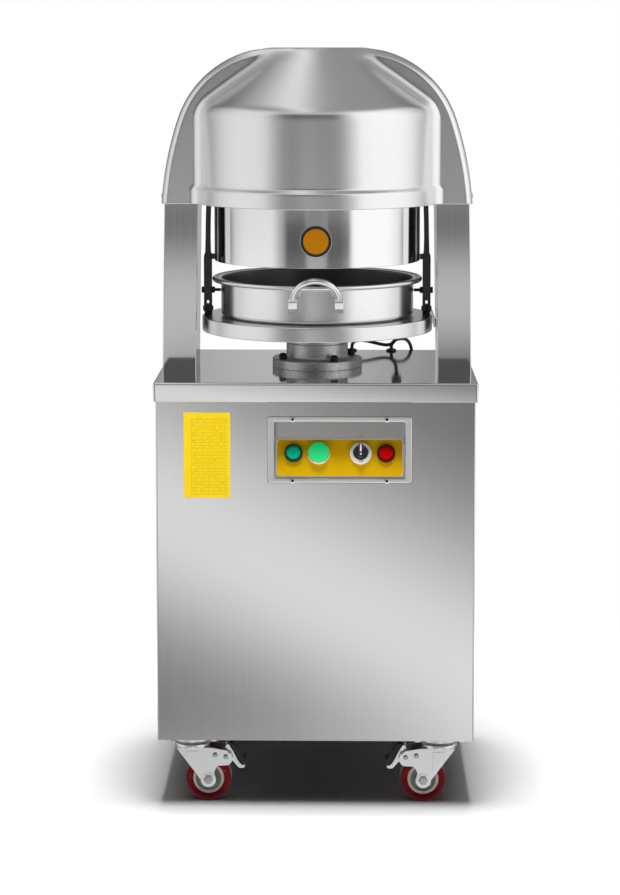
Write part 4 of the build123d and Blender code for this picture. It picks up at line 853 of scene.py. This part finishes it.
# %% Side arms
arm_sections = [(814, 184.4, 6.6, 10), (815, 184.4, 6.6, 10), (886, 184.4, 6.6, 10), (891, 184.2, 6.2, 9.7)]
arm_sections += [(895, 184.1, 4.6, 9.2), (920, 184.0, 4.0, 9), (950, 183.5, 4.0, 9), (980, 182.5, 4.0, 9)]
arm_sections += [(999, 181.5, 4.0, 9), (1000, 181.5, 3.5, 8.5)]
arm_foot = soften([(-10, 794, 4), (10, 794, 4), (10, 815), (-10, 815)])
arm_lug = soften([(-6.7, 883.3, 1), (6.7, 883.3, 1), (6.7, 892, 1), (-6.7, 892, 1)])
for name, side in (("left", -1), ("right", 1)):
    arm = Shape()
    loops = []
    for level, middle, half_width, half_depth in arm_sections:
        loops.append([(side * middle + p.x, p.y, level) for p in rounded_box(half_width, half_depth, 1.6)])
    arm.loft(loops, upright)
    for middle in (180.0, 188.8):
        arm.plate(arm_foot, -2.2, 2.2, at(side * middle, 0, 0, across=(0, 1, 0), up=(1, 0, 0)), 0.5)
    arm.plate(arm_lug, 173.4, 178.5, at(0, 0, 0, across=(0, side, 0), up=(side, 0, 0)), 0.3)
    arm.piece(f"{name}_arm_bar", [arm_paint], "lift", "black_steel", f"{name}_arm")

# %% [markdown]
# Two small bolts with locknuts set the arms to the bowl's rim. Behind the plate a limit switch sits
# on a bent strap. These are stock parts, so plain hexagons, rods and boxes with soft edges do.

# %% Adjusting bolts and limit switch
BOLT_HEIGHT = 831
hex_head = hexagon(5.8)
bolts = Shape()
for side in (-1, 1):
    along_bolt = at(0, 0, BOLT_HEIGHT, across=(0, side, 0), up=(side, 0, 0))
    bolts.spin([(0.5, 162.6), (2.6, 162.6, 0.8), (2.6, 191), (0.5, 191)], along_bolt, segments=24)
    bolts.plate(hex_head, 172.8, 177.8, along_bolt, 0.6)
    bolts.plate(hex_head, 191.0, 195.2, along_bolt, 0.6)
bolts.piece("adjusting_bolts", [black_oxide], "lift", "black_steel", "arm_adjusters")

on_switch = at(138, 176, 0)
strap = [(129, 165, 1), (129, 168, 1), (200.7, 168, 3), (200.7, 20, 1), (197.7, 20, 1), (197.7, 165, 1)]
switch = Shape()
switch.plate(soften(strap), 765, 779, upright, 0.4)
switch.plate(rounded_box(8.8, 7.8, 2.0), 745, 791, on_switch, 1.2, shade=1)
switch.plate(rounded_box(9.0, 8.0, 2.0), 778, 780, on_switch, 0.5, shade=1)
switch.spin([(0.5, 739), (5, 739, 1), (5, 746), (0.5, 746)], on_switch, shade=1, segments=32)
switch.spin([(0.5, 790), (3, 790), (3, 795, 1.4), (0.5, 795)], on_switch, segments=24)
switch.piece("switch_on_strap", [column_steel, black_moulding], "cabinet", "black_plastic", "limit_switch")

# %% [markdown]
# The worktop is a tray folded from one sheet, with a lip that leans in by a hair, as folded lips
# do. Its top is flat with real openings, so it is filled between border and holes, and the lip is
# lofted through rounded rectangles.

# %% Worktop
TOP_FACE, UNDERSIDE = 702.0, 700.0
SLEEVE_HOLE, GROMMET_HOLE = 50.3, 6.3
COLUMN_X, COLUMN_HOLE = 221, (15.3, 30.3)
GROMMET_XS, GROMMET_Y = (59, 129), 193


def frame_loops(*sizes):
    """Rounded rectangles as loops: each size is half width, half height, corner and height."""
    return [[(p.x, p.y, top) for p in rounded_box(a, b, corner)] for a, b, corner, top in sizes]


def round_hole(x, y, radius, height, count=48):
    """A circle of points."""
    turns = [2 * pi * k / count for k in range(count)]
    return [(x + radius * cos(a), y + radius * sin(a), height) for a in turns]


def slot_hole(x, y, half_width, half_height, height):
    """The corners of a square opening."""
    corners = ((1, 1), (-1, 1), (-1, -1), (1, -1))
    return [(x + a * half_width, y + b * half_height, height) for a, b in corners]


def openings(height):
    """The openings for the guide sleeve, the two uprights and the two cables."""
    holes = [round_hole(0, 0, SLEEVE_HOLE, height)]
    holes += [slot_hole(side * COLUMN_X, 0, *COLUMN_HOLE, height) for side in (-1, 1)]
    return holes + [round_hole(x, GROMMET_Y, GROMMET_HOLE, height, 24) for x in GROMMET_XS]


folds = frame_loops(
    (259.8, 207.8, 2.0, UNDERSIDE), (259.2, 207.2, 2.0, 671.4), (259.6, 207.6, 2.4, 671.0),
    (260.8, 208.8, 3.6, 671.0), (261.2, 209.2, 4.0, 671.4), (262.0, 210.0, 4.0, 698.2),
    (261.7, 209.7, 3.8, 699.8), (260.9, 208.9, 3.4, 701.1), (259.7, 207.7, 2.8, 701.8),
    (258.2, 206.2, 2.4, TOP_FACE),
)
worktop = Shape()
faces = worktop.loft(folds, upright)
bmesh.ops.delete(worktop.mesh, geom=faces[:2], context="FACES_ONLY")
worktop.pierced([folds[-1], *openings(TOP_FACE)], upright)
worktop.pierced([folds[0], *openings(UNDERSIDE)], upright)
for low_hole, high_hole in zip(openings(UNDERSIDE), openings(TOP_FACE)):
    rim = worktop.loft([low_hole, high_hole], upright)
    bmesh.ops.delete(worktop.mesh, geom=rim[:2], context="FACES_ONLY")
worktop.weld()
worktop.piece("worktop_tray", [top_steel], "cabinet", "stainless", "worktop")

# %% [markdown]
# The console is a bright frame on the front panel, with a slanted amber plate behind it. Frames
# with round corners are lofted through rectangles that all have the same number of points.
# The lamps, the button and the selector are turned, and stand square to the slanted plate.

# %% Bezel and control plate
PANEL_FRONT, PANEL_BACK = -206, 206
CONSOLE_X, CONSOLE_Z = 39, 593
on_panel = at(CONSOLE_X, PANEL_FRONT, CONSOLE_Z, up=(0, -1, 0))
bezel = Shape()
bezel.loft(
    frame_loops(
        (116.2, 53.7, 5.0, 0.0), (116.2, 53.7, 5.0, 1.3), (115.7, 53.2, 4.7, 1.8), (115.0, 52.5, 4.3, 2.0),
        (107.0, 47.5, 4.5, 2.0), (106.0, 46.5, 4.2, 1.7), (105.6, 46.1, 4.0, 0.9), (105.6, 46.1, 4.0, 0.0),
    ),
    on_panel, ring=True,
)
# The thin dark ring round the frame's outer edge is a painted shadow line, in dull rubber.
bezel.loft(
    frame_loops(
        (116.9, 54.4, 5.5, 0.0), (116.9, 54.4, 5.5, 0.7), (116.1, 53.6, 5.0, 0.7), (116.1, 53.6, 5.0, 0.0),
    ),
    on_panel, ring=True, shade=1,
)
bezel.piece("bezel_frame", [bezel_steel, dull_rubber], "cabinet", "bright_stainless", "control_bezel")

slope = radians(30)
UP_SLOPE = Vector((0, sin(slope), cos(slope)))
OFF_SLOPE = Vector((0, -cos(slope), sin(slope)))
slope_origin = Vector((CONSOLE_X, -185.5, 577.31))
on_slope = at(*(slope_origin - UP_SLOPE * 1.2), up=OFF_SLOPE)
control = Shape()
control.plate(rounded_box(101.8, 31.3, 6.0), 0.0, 1.5, on_slope, 0.3)
control.loft(
    frame_loops(
        (103.1, 32.6, 7.0, 0.0), (103.1, 32.6, 7.0, 1.2), (102.8, 32.3, 6.8, 1.5), (102.0, 31.5, 6.2, 1.5),
        (101.6, 31.1, 5.8, 1.2), (101.6, 31.1, 5.8, 0.0),
    ),
    on_slope, ring=True, shade=1,
)
control.piece("control_face", [amber_print, bezel_steel], "cabinet", "amber_plate", "control_plate")

# %% Device rings and lamps
LAMP_ACROSS, SWITCH_ACROSS = 75, 34
LAMP_RING, SWITCH_RING = 14.75, 17.8


def device(across, shift=0.0):
    """The place of one device on the front of the control plate."""
    origin = slope_origin + Vector((across, 0, 0)) + UP_SLOPE * (5.0 + shift) + OFF_SLOPE * 1.5
    return at(*origin, up=OFF_SLOPE)


collar_sizes = [(-LAMP_ACROSS, LAMP_RING, 12.0), (-SWITCH_ACROSS, SWITCH_RING, 16.9)]
collar_sizes += [(SWITCH_ACROSS, SWITCH_RING, 12.4), (LAMP_ACROSS, LAMP_RING, 12.0)]
collars = Shape()
for shade, (across, outer, bore) in enumerate(collar_sizes):
    collars.spin(
        [
            (1, -42), (9, -42, 1), (9, -16), (11, -16, 0.5), (11, 0), (outer, 0, 0.4), (outer, 8, 1.4),
            (bore, 8, 0.5), (bore, 1.5), (1, 1.5),
        ],
        device(across), shade=shade, segments=64,
    )
ring_finishes = [green_rim, white_ring, white_ring, red_rim]
collars.piece("device_rings", ring_finishes, "cabinet", "device_metal", "device_collars")
dome = soften([(11.4, 1.5), (11.4, 9.4, 1.6), (7, 11.2, 3), (0.3, 11.5)], closed=False, steps=6)
for name, across, finish, slot in (
    ("green_lens", -LAMP_ACROSS, green_glass, "green_lamp"), ("red_lens", LAMP_ACROSS, red_glass, "red_lamp"),
):
    lens = Shape()
    lens.turn([(0.3, 1.5), *dome], device(across), segments=64)
    lens.piece(f"{name}_dome", [finish], "cabinet", slot, name)

# %% [markdown]
# The start button is a shallow green cap in a white collar, and the selector is a black knob with
# a grip and a white pointer. Each rides on a body of its own, so it is a piece by itself.

# %% Start button and selector
cap = [(0.3, 6.9), (16.4, 6.9, 0.6), (16.4, 14.7, 1.8), (9, 14.5, 4), (0.3, 14.4)]
button = Shape()
button.spin(cap, device(-SWITCH_ACROSS), segments=72, steps=6)
button.piece("button_cap", [green_button], "start_cap", "green_cap", "start_button")

on_knob = device(SWITCH_ACROSS)
knob = Shape()
knob.spin([(0.3, 1.9), (12, 1.9, 0.5), (12, 9.9, 1.5), (0.3, 9.9)], on_knob, segments=64)
knob.plate(rounded_box(4.0, 11.2, 3.8), 9.0, 21.9, on_knob, 1.2)
knob.plate(rounded_box(1.4, 6.4, 1.3), 21.5, 22.2, device(SWITCH_ACROSS, 3.2), 0.2, shade=1)
knob.plate(rounded_box(1.4, 1.4, 1.3), 21.5, 22.2, device(SWITCH_ACROSS, -7.4), 0.2, shade=1)
knob.piece("selector_grip", [black_moulding, white_ring], "selector", "black_plastic", "selector_knob")

# %% [markdown]
# Screws, bolts, springs and louvres repeat, so they come from Geometry Nodes. A recipe is a node
# group with named sizes. It is run on points that carry a turn, its instances are made real, and
# the result is kept as a plain mesh, because a piece must not depend on a live node tree.

# %% Recipes


class Recipe(Tree):
    """A Geometry Nodes group that puts one shape on every point it is given."""

    def __init__(self, name, **sizes):
        super().__init__(bpy.data.node_groups.new(name, "GeometryNodeTree"))
        sockets = self.tree.interface
        sockets.new_socket("Result", in_out="OUTPUT", socket_type="NodeSocketGeometry")
        sockets.new_socket("Points", in_out="INPUT", socket_type="NodeSocketGeometry")
        for label, value in sizes.items():
            kind = "NodeSocketInt" if isinstance(value, int) else "NodeSocketFloat"
            sockets.new_socket(label, in_out="INPUT", socket_type=kind).default_value = value
        for label in ("Skin", "Hollow"):
            sockets.new_socket(label, in_out="INPUT", socket_type="NodeSocketMaterial")
        entry = self.tree.nodes.new("NodeGroupInput")
        self.given = {socket.name: Wire(self.tree, socket) for socket in entry.outputs}

    def spread(self, shape, hollow=None):
        """Put the shape on the points, make it real and give it its materials."""
        named = {"Name": "turn"}
        turn = self.node("GeometryNodeInputNamedAttribute", {"data_type": "FLOAT_VECTOR"}, named)
        inputs = {"Geometry": shape, "Material": self.given["Skin"]}
        skin = self.node("GeometryNodeSetMaterial", inputs=inputs)
        if hollow:
            inputs = {"Geometry": skin, "Selection": hollow, "Material": self.given["Hollow"]}
            skin = self.node("GeometryNodeSetMaterial", inputs=inputs)
        turned = self.node("FunctionNodeEulerToRotation", inputs={0: turn})
        inputs = {"Points": self.given["Points"], "Instance": skin, "Rotation": turned}
        copies = self.node("GeometryNodeInstanceOnPoints", inputs=inputs)
        real = self.node("GeometryNodeRealizeInstances", inputs={0: copies})
        plug(self.tree, self.tree.nodes.new("NodeGroupOutput").inputs[0], real)

    def run(self, name, places, **values):
        """A plain mesh with the shape at each place of (point in mm, across, up)."""
        points = bpy.data.meshes.new(name)
        points.from_pydata([Vector(point) * MM for point, _, _ in places], [], [])
        turns = points.attributes.new("turn", "FLOAT_VECTOR", "POINT")
        for item, (_, across, up) in zip(turns.data, places):
            first, third = Vector(across), Vector(up)
            item.vector = Matrix((first, third.cross(first), third)).transposed().to_euler()
        holder = bpy.data.objects.new(name, points)
        scene.collection.objects.link(holder)
        modifier = holder.modifiers.new(name, "NODES")
        modifier.node_group = self.tree
        for socket in self.tree.interface.items_tree:
            if socket.name in values:
                modifier[socket.identifier] = values[socket.name]
        evaluated = holder.evaluated_get(bpy.context.evaluated_depsgraph_get())
        mesh = bpy.data.meshes.new_from_object(evaluated)
        bpy.data.objects.remove(holder)
        return mesh


print("recipes are ready")

# %% [markdown]
# A head is a short cylinder whose top edge is lowered into a bevel and whose middle is sunk into
# a socket. One recipe with named sizes gives panel screws, cap screws and hexagon bolts.

# %% Screw and bolt heads
heads = Recipe("heads", Sides=24, Radius=0.004, Height=0.002, Edge=0.0006, Socket=0.4, Depth=0.001)
size = heads.given
inputs = {"Vertices": size["Sides"], "Side Segments": 1, "Fill Segments": 6}
inputs.update({"Radius": size["Radius"], "Depth": size["Height"]})
blank = heads.node("GeometryNodeMeshCylinder", {"fill_type": "TRIANGLE_FAN"}, inputs)
x, y, z = heads.split(heads.node("GeometryNodeInputPosition"))
spread = (x * x + y * y).maths("SQRT") / size["Radius"]
top = z > 0.0
socket = top * (spread < size["Socket"])
drop = top * spread.rise(0.55, 1.0) * size["Edge"] + socket * size["Depth"]
lift_by = heads.node("ShaderNodeCombineXYZ", inputs={2: size["Height"] * 0.5 - drop})
head = heads.node("GeometryNodeSetPosition", inputs={"Geometry": blank, "Offset": lift_by})
heads.spread(head, socket)


def head_piece(name, places, finishes, slot, node, radius, height, sides=24, hole=0.45, sunk=0.5):
    """A set of equal heads on the cabinet as one piece, with finishes for the skin and the hollow."""
    sizes = {"Sides": sides, "Radius": radius * MM, "Height": height * MM, "Edge": height * 0.25 * MM}
    sizes.update({"Socket": hole, "Depth": height * sunk * MM})
    skin, hollow = (finish.material for finish in finishes)
    mesh = heads.run(name, places, Skin=skin, Hollow=hollow, **sizes)
    add_piece(name, mesh, "cabinet", slot, node)


LEFT, FRONT, DOWN = Vector((-1, 0, 0)), Vector((0, -1, 0)), Vector((0, 0, -1))
CASTER_X, CASTER_Y = 204, 158
console_screws = [(CONSOLE_X + a, PANEL_FRONT - 2, CONSOLE_Z + b) for a in (-76, 76) for b in (-50, 50)]
screw_places = [(point, -LEFT, FRONT) for point in console_screws]
screw_places += [((a, PANEL_BACK, b), LEFT, -FRONT) for a in (-234.1, 234.1) for b in (150, 320, 490, 655)]
screw_places += [((a * 257.5, b, 992), -DOWN, a * -LEFT) for a in (-1, 1) for b in (-38, 38)]
head_piece(
    "screw_heads", screw_places, (bezel_steel, black_oxide), "device_metal", "panel_screws",
    radius=4.5, height=2.0,
)
ring = [radians(27 + 90 * k) for k in range(4)]
cap_places = [((64 * cos(a), 64 * sin(a), 717), -LEFT, -DOWN) for a in ring]
head_piece(
    "cap_screws", cap_places, (black_oxide, black_moulding), "black_steel", "sleeve_bolts",
    radius=6.5, height=10,
)
bolt_places = [
    ((side * CASTER_X + a, back * CASTER_Y + b, 108), -LEFT, DOWN)
    for side in (-1, 1) for back in (-1, 1) for a in (-36.5, 36.5) for b in (-22.5, 22.5)
]
head_piece(
    "hex_bolts", bolt_places, (zinc_plate, zinc_plate), "zinc", "caster_bolts",
    radius=7.5, height=5, sides=6, hole=0.0, sunk=0.0,
)

# %% [markdown]
# Four coil springs push the press blocks down on the dough. Each spring is a spiral curve with a
# round section.

# %% Press springs
coils = Recipe("coils", Turns=9.0, Radius=0.0105, Wire=0.0015, Height=0.064)
size = coils.given
inputs = {"Resolution": 28, "Rotations": size["Turns"], "Start Radius": size["Radius"]}
inputs.update({"End Radius": size["Radius"], "Height": size["Height"]})
helix = coils.node("GeometryNodeCurveSpiral", inputs=inputs)
inputs = {"Resolution": 10, "Radius": size["Wire"]}
section = coils.node("GeometryNodeCurvePrimitiveCircle", inputs=inputs)
inputs = {"Curve": helix, "Profile Curve": section, "Fill Caps": True}
coils.spread(coils.node("GeometryNodeCurveToMesh", inputs=inputs))
spring_places = [((a * 110.31, b * 26, 1039.5), -LEFT, -DOWN) for a in (-1, 1) for b in (-1, 1)]
spring_mesh = coils.run("spring_coils", spring_places, Skin=spring_wire.material)
springs = add_piece("spring_coils", spring_mesh, "cabinet", "spring_steel", "press_springs")
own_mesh(springs)

# %% [markdown]
# The back panel breathes through two sets of pressed louvres. Each hood is a thin curled strip
# over its slot. A flat block whose points move along a parabola is enough for that.

# %% Louvre hoods
hoods = Recipe("louvre_hoods", Width=0.096, Length=0.0095, Sheet=0.001, Curl=0.0022)
size = hoods.given
inputs = {0: size["Width"], 1: size["Length"], 2: size["Sheet"]}
inputs = {"Size": hoods.node("ShaderNodeCombineXYZ", inputs=inputs), "Vertices X": 2, "Vertices Y": 9}
strip = hoods.node("GeometryNodeMeshCube", inputs=inputs)
_, y, _ = hoods.split(hoods.node("GeometryNodeInputPosition"))
along = y / size["Length"]
parabola = (along * along * 4.0 - 1.0) * size["Curl"] * -1.0
curl = hoods.node("ShaderNodeCombineXYZ", inputs={2: parabola})
hoods.spread(hoods.node("GeometryNodeSetPosition", inputs={"Geometry": strip, "Offset": curl}))
louvre_tilt = radians(36)
outward = Vector((0, cos(louvre_tilt), sin(louvre_tilt)))
louvre_places = [((a, 208.4, 300.8 + 16 * (k - 3.5)), LEFT, outward) for a in (-75, 75) for k in range(8)]
louvre_mesh = hoods.run("louvre_hoods", louvre_places, Skin=panel_steel.material)
add_piece("louvre_hoods", louvre_mesh, "cabinet", "stainless")

# %% [markdown]
# A caster fork is pressed from thick zinc-plated sheet: two legs, a bridge and a round crown that
# turns on balls. All four casters share one drawing, turned so that each wheel trails inwards, so
# a list of their places comes first and every piece is made in a loop over it.

# %% Caster places
WHEEL_TRAIL, WHEEL_HEIGHT = 27, 37.5
casters = []
for end, back in (("front", -1), ("rear", 1)):
    for hand, side in (("left", -1), ("right", 1)):
        casters.append((f"{end}_{hand}", end == "front", side * CASTER_X, back * CASTER_Y, -side))
print(len(casters), "casters, each with its name, brake, place and inward side")

# %% Forks
eye_turns = [radians(a) for a in range(180, 361, 15)]
eye = [(WHEEL_TRAIL + 13 * cos(a), WHEEL_HEIGHT + 13 * sin(a)) for a in eye_turns]
brake_arm = [(36.4, 50, 9), (42, 60.5, 6), (61.5, 61.5, 9), (70, 74, 9), (57, 87, 5)]
rivet = [(1, 20.8), (4.4, 20.8), (4.4, 22, 0.5), (2, 22.8, 0.5), (1, 22.8)]
washer = [(1, 20.8), (11.2, 20.8), (11.2, 22.2, 0.5), (1, 22.2)]
axle_nut = hexagon(7.8)
crown = [(1, 91), (29, 91, 1), (29, 97.5, 2.2), (22, 97.5), (1, 97.5)]
bridge = soften([(-25, -20.5, 3), (29, -20.5, 3), (29, 20.5, 3), (-25, 20.5, 3)])
pressing = soften([(-9.5, 86, 3), (-9.5, 74, 5), (9, 50, 4), (12, 52, 3), (12, 86, 3)])
for corner, has_brake, x, y, inward in casters:
    sideways = at(x, y, 0, across=(inward, 0, 0), up=(0, -inward, 0))
    level = at(x, y, 0, across=(inward, 0, 0))
    leg = soften([(-26, 91.2, 1.5), *eye, *(brake_arm if has_brake else []), (30, 91.2, 1.5)])
    rivet_spots = [(38.4, 79), (56, 76)] if has_brake else [(38.4, 79)]
    fork = Shape()
    for way in (-1, 1):
        fork.plate(leg, 19.5 * way - 1.5, 19.5 * way + 1.5, sideways, 0.7)
        fork.plate(pressing, 21.2 * way - 1.0, 21.2 * way + 1.0, sideways, 0.9)
        on_nut = at(x + WHEEL_TRAIL * inward, y, WHEEL_HEIGHT, up=(0, -way * inward, 0))
        fork.spin(washer, on_nut, segments=32)
        fork.plate(axle_nut, 22, 26, on_nut, 0.9, shade=1)
        for trail, height in rivet_spots:
            on_rivet = at(x + trail * inward, y, height, up=(0, -way * inward, 0))
            fork.spin(rivet, on_rivet, shade=1, segments=24)
    fork.plate(bridge, 87.5, 91.5, level, 0.8)
    fork.spin(crown, level)
    on_axle = at(x + WHEEL_TRAIL * inward, y, WHEEL_HEIGHT, up=(0, 1, 0))
    fork.turn([(1, -21), (5, -21), (5, 21), (1, 21)], on_axle, segments=24)
    finishes = [zinc_plate, bolt_zinc]
    fork.piece(f"{corner}_fork_sheet", finishes, f"{corner}_swivel", "zinc", f"{corner}_fork")

# %% [markdown]
# A wheel is a red tyre cast on a dished hub. Both faces are alike, so one is drawn and mirrored,
# and the hub's raised rim takes a colour of its own by its place.

# %% Wheels
RIM_RADIUS, RIM_DEPTH = 20.0 * MM, 12.2 * MM


def both_faces(face):
    """A wheel's profile from its near face, mirrored for the far one."""
    return soften([*face, *[(radius, -depth, *rest) for radius, depth, *rest in reversed(face)]])


tyre_profile = both_faces([(25.6, -13.2, 0.5), (31, -15, 2), (35.3, -14.4, 3), (37.5, -10, 5)])
hub_face = [(5.1, -15), (9.5, -15, 1.5), (12, -9.5, 2), (14.6, -9.5, 0.4), (15.2, -11.2, 0.5)]
hub_face += [(17.2, -11.2, 0.5), (17.8, -9.5, 0.4), (20.2, -9.5, 1), (20.7, -12.6, 0.4), (25.5, -12.6)]
hub_profile = both_faces(hub_face)
for corner, _, x, y, inward in casters:
    centre = Vector((x + WHEEL_TRAIL * inward, y, WHEEL_HEIGHT))
    on_axle = at(*centre, up=(0, 1, 0))
    wheel = Shape()
    wheel.turn(tyre_profile, on_axle, ring=True)
    for face in wheel.turn(hub_profile, on_axle, ring=True, shade=1):
        middle = face.calc_center_median() - centre * MM
        if abs(middle.y) > RIM_DEPTH and Vector((middle.x, middle.z)).length > RIM_RADIUS:
            face.material_index = 2
    finishes = [tyre_red, hub_grey, hub_beige]
    wheel.piece(f"{corner}_wheel_round", finishes, f"{corner}_roller", "caster_red", f"{corner}_wheel")

# %% [markdown]
# The front casters have a brake pedal: a bent lever with a rubber pad, whose shoe nears the tyre.
# Both are strips seen from the side, so each is an outline drawn out sideways with soft edges.

# %% Brake pedals
PIN_TRAIL, PIN_HEIGHT = 61.5, 79
pedal_strip = [(-7, -5, 3), (-6.5, 14, 4), (-1, 16.5, 1.2), (6.5, 4, 6), (13, -9, 5), (17, -15.6, 3)]
pedal_strip += [(21.5, -19, 2), (25.4, -18.6, 1.2), (25, -23.4, 1.8), (16, -24, 4), (8, -15, 3), (3, -9, 2)]
pedal_strip += [(-3, -16.8, 1.2)]
pedal_pad = [(-0.2, 17, 1), (5.5, 18.3, 2), (16, 4.5, 6), (22, -5.5, 4), (28, -10, 1.5), (25.6, -17.6, 1)]
pedal_pad += [(22, -18, 1.5), (17.8, -14.6, 3), (13.8, -8.4, 5), (7.3, 4.6, 6)]
pedal_pin = [(0.8, -21.8), (4, -21.8, 0.8), (4, 21.8, 0.8), (0.8, 21.8)]
for corner, has_brake, x, y, inward in casters:
    if has_brake:
        on_pin = at(x + PIN_TRAIL * inward, y, PIN_HEIGHT, across=(inward, 0, 0), up=(0, -inward, 0))
        pedal = Shape()
        pedal.plate(soften(pedal_strip), -14, 14, on_pin, 0.5)
        pedal.plate(soften(pedal_pad), -14.4, 14.4, on_pin, 0.4, shade=1)
        pedal.spin(pedal_pin, on_pin, segments=24)
        finishes = [zinc_plate, dull_rubber]
        pedal.piece(f"{corner}_pedal_plate", finishes, f"{corner}_brake", "black_steel", f"{corner}_pedal")

# %% [markdown]
# A ruled chart sits at the left of the front panel. It is a thin printed sheet: a plate with soft
# corners whose paper, rules and rows of small marks are drawn by the shader in millimetres.

# %% Ruled chart
CHART_X, CHART_Z = -175, 584
CHART_HALF_WIDTH, CHART_HALF_HEIGHT = 37.5, 69.5
ROW_PITCH, COLUMN_PITCH = 5.3, 9.0
RULE_SHARE, POST_SHARE = 0.09, 0.05
GRID_LEFT, GRID_RIGHT, GRID_LOW, GRID_HIGH = 12.0, 71.0, 4.0, 131.0
chart_paper = Finish("chart_paper", roughness=0.42, specular_ior_level=0.1)
x, _, z = chart_paper.split(chart_paper.place())
across = (x - (CHART_X - CHART_HALF_WIDTH) * MM) / MM
height = (z - (CHART_Z - CHART_HALF_HEIGHT) * MM) / MM
row = height / ROW_PITCH
in_row = row.maths("FRACT")
rule = in_row < RULE_SHARE
column = (across - GRID_LEFT) / COLUMN_PITCH
in_column = column.maths("FRACT")
post = in_column < POST_SHARE
inside = (across > GRID_LEFT) * (across < GRID_RIGHT) * (height > GRID_LOW) * (height < GRID_HIGH)
marks = chart_paper.grain(1.0, 1.0, (900.0, 1.0, 190.0))
dash = (marks > 0.55) * ((in_row - 0.52) / 0.2).bell().rise(0.4, 0.6)
dash = dash * in_column.span(0.2, 0.24, 0.76, 0.8)
ink = inside * (rule * 0.58 + post * 0.5 + dash * 0.5)
ink = ink.maths("MINIMUM", 0.62)
paper = chart_paper.mix(chart_paper.grain(30.0), (0.92, 0.64, 0.008, 1), (0.96, 0.69, 0.010, 1))
chart_paper.feed(base_color=chart_paper.mix(ink, paper, (0.16, 0.09, 0.01, 1)))
on_chart = at(CHART_X, PANEL_FRONT, CHART_Z, up=(0, -1, 0))
chart = Shape()
chart.plate(rounded_box(CHART_HALF_WIDTH, CHART_HALF_HEIGHT, 1.2), 0.0, 0.35, on_chart, 0.1)
chart.piece("ruled_chart", [chart_paper], "cabinet", "amber_plate")

# %% [markdown]
# Where a cable goes through sheet metal, a rubber grommet guards it from the edge. It is a small
# turned ring, the same for the two holes in the worktop and the one in the back panel.

# %% Grommets
collar = soften([(3.1, 0), (9, 0, 0.5), (9, 2.4, 1.2), (6, 4, 1.2), (3.1, 4, 0.4)])
grommets = Shape()
for place in (*(at(x, GROMMET_Y, TOP_FACE) for x in GROMMET_XS), at(168, PANEL_BACK, 648, up=(0, 1, 0))):
    grommets.turn(collar, place, ring=True, segments=40)
grommets.piece("grommet_rings", [dull_rubber], "cabinet", "black_plastic", "cable_grommets")

# %% [markdown]
# Two black cables lie behind the lift plate. A cable is stiff and smooth, so it is one NURBS
# curve that follows a few control points, with a round bevel for its sheath.

# %% Cables
CABLE_RADIUS = 0.003
sensor_route = [
    (0.059, 0.193, 0.706), (0.059, 0.193, 0.7135), (0.064, 0.193, 0.7195), (0.075, 0.1925, 0.7215),
    (0.092, 0.191, 0.7185), (0.109, 0.1885, 0.7145), (0.122, 0.1845, 0.713), (0.132, 0.180, 0.717),
    (0.138, 0.176, 0.7275), (0.138, 0.176, 0.739),
]
rear_route = [
    (0.129, 0.193, 0.706), (0.129, 0.193, 0.7135), (0.134, 0.1955, 0.720), (0.144, 0.201, 0.723),
    (0.1545, 0.209, 0.7215), (0.162, 0.217, 0.714), (0.166, 0.223, 0.701), (0.1675, 0.2265, 0.686),
    (0.168, 0.228, 0.672), (0.168, 0.2275, 0.660), (0.168, 0.2235, 0.651), (0.168, 0.217, 0.648),
    (0.168, 0.210, 0.648),
]


def lay_cable(name, route):
    """A round cable whose control points are the route's points."""
    curve = bpy.data.curves.new(name, "CURVE")
    curve.dimensions = "3D"
    spline = curve.splines.new("NURBS")
    spline.points.add(len(route) - 1)
    for point, place in zip(spline.points, route):
        point.co = (*place, 1.0)
    spline.order_u = 3
    spline.use_endpoint_u = True
    curve.resolution_u = 8
    curve.bevel_depth = CABLE_RADIUS
    curve.bevel_resolution = 5
    curve.use_fill_caps = True
    curve.materials.append(cable_sheath.material)
    cable = bpy.data.objects.new(name, curve)
    scene.collection.objects.link(cable)
    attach(cable, "cabinet")
    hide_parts(name)
    print(name, "with", len(route), "points")


lay_cable("sensor_cable", sensor_route)
lay_cable("rear_cable", rear_route)
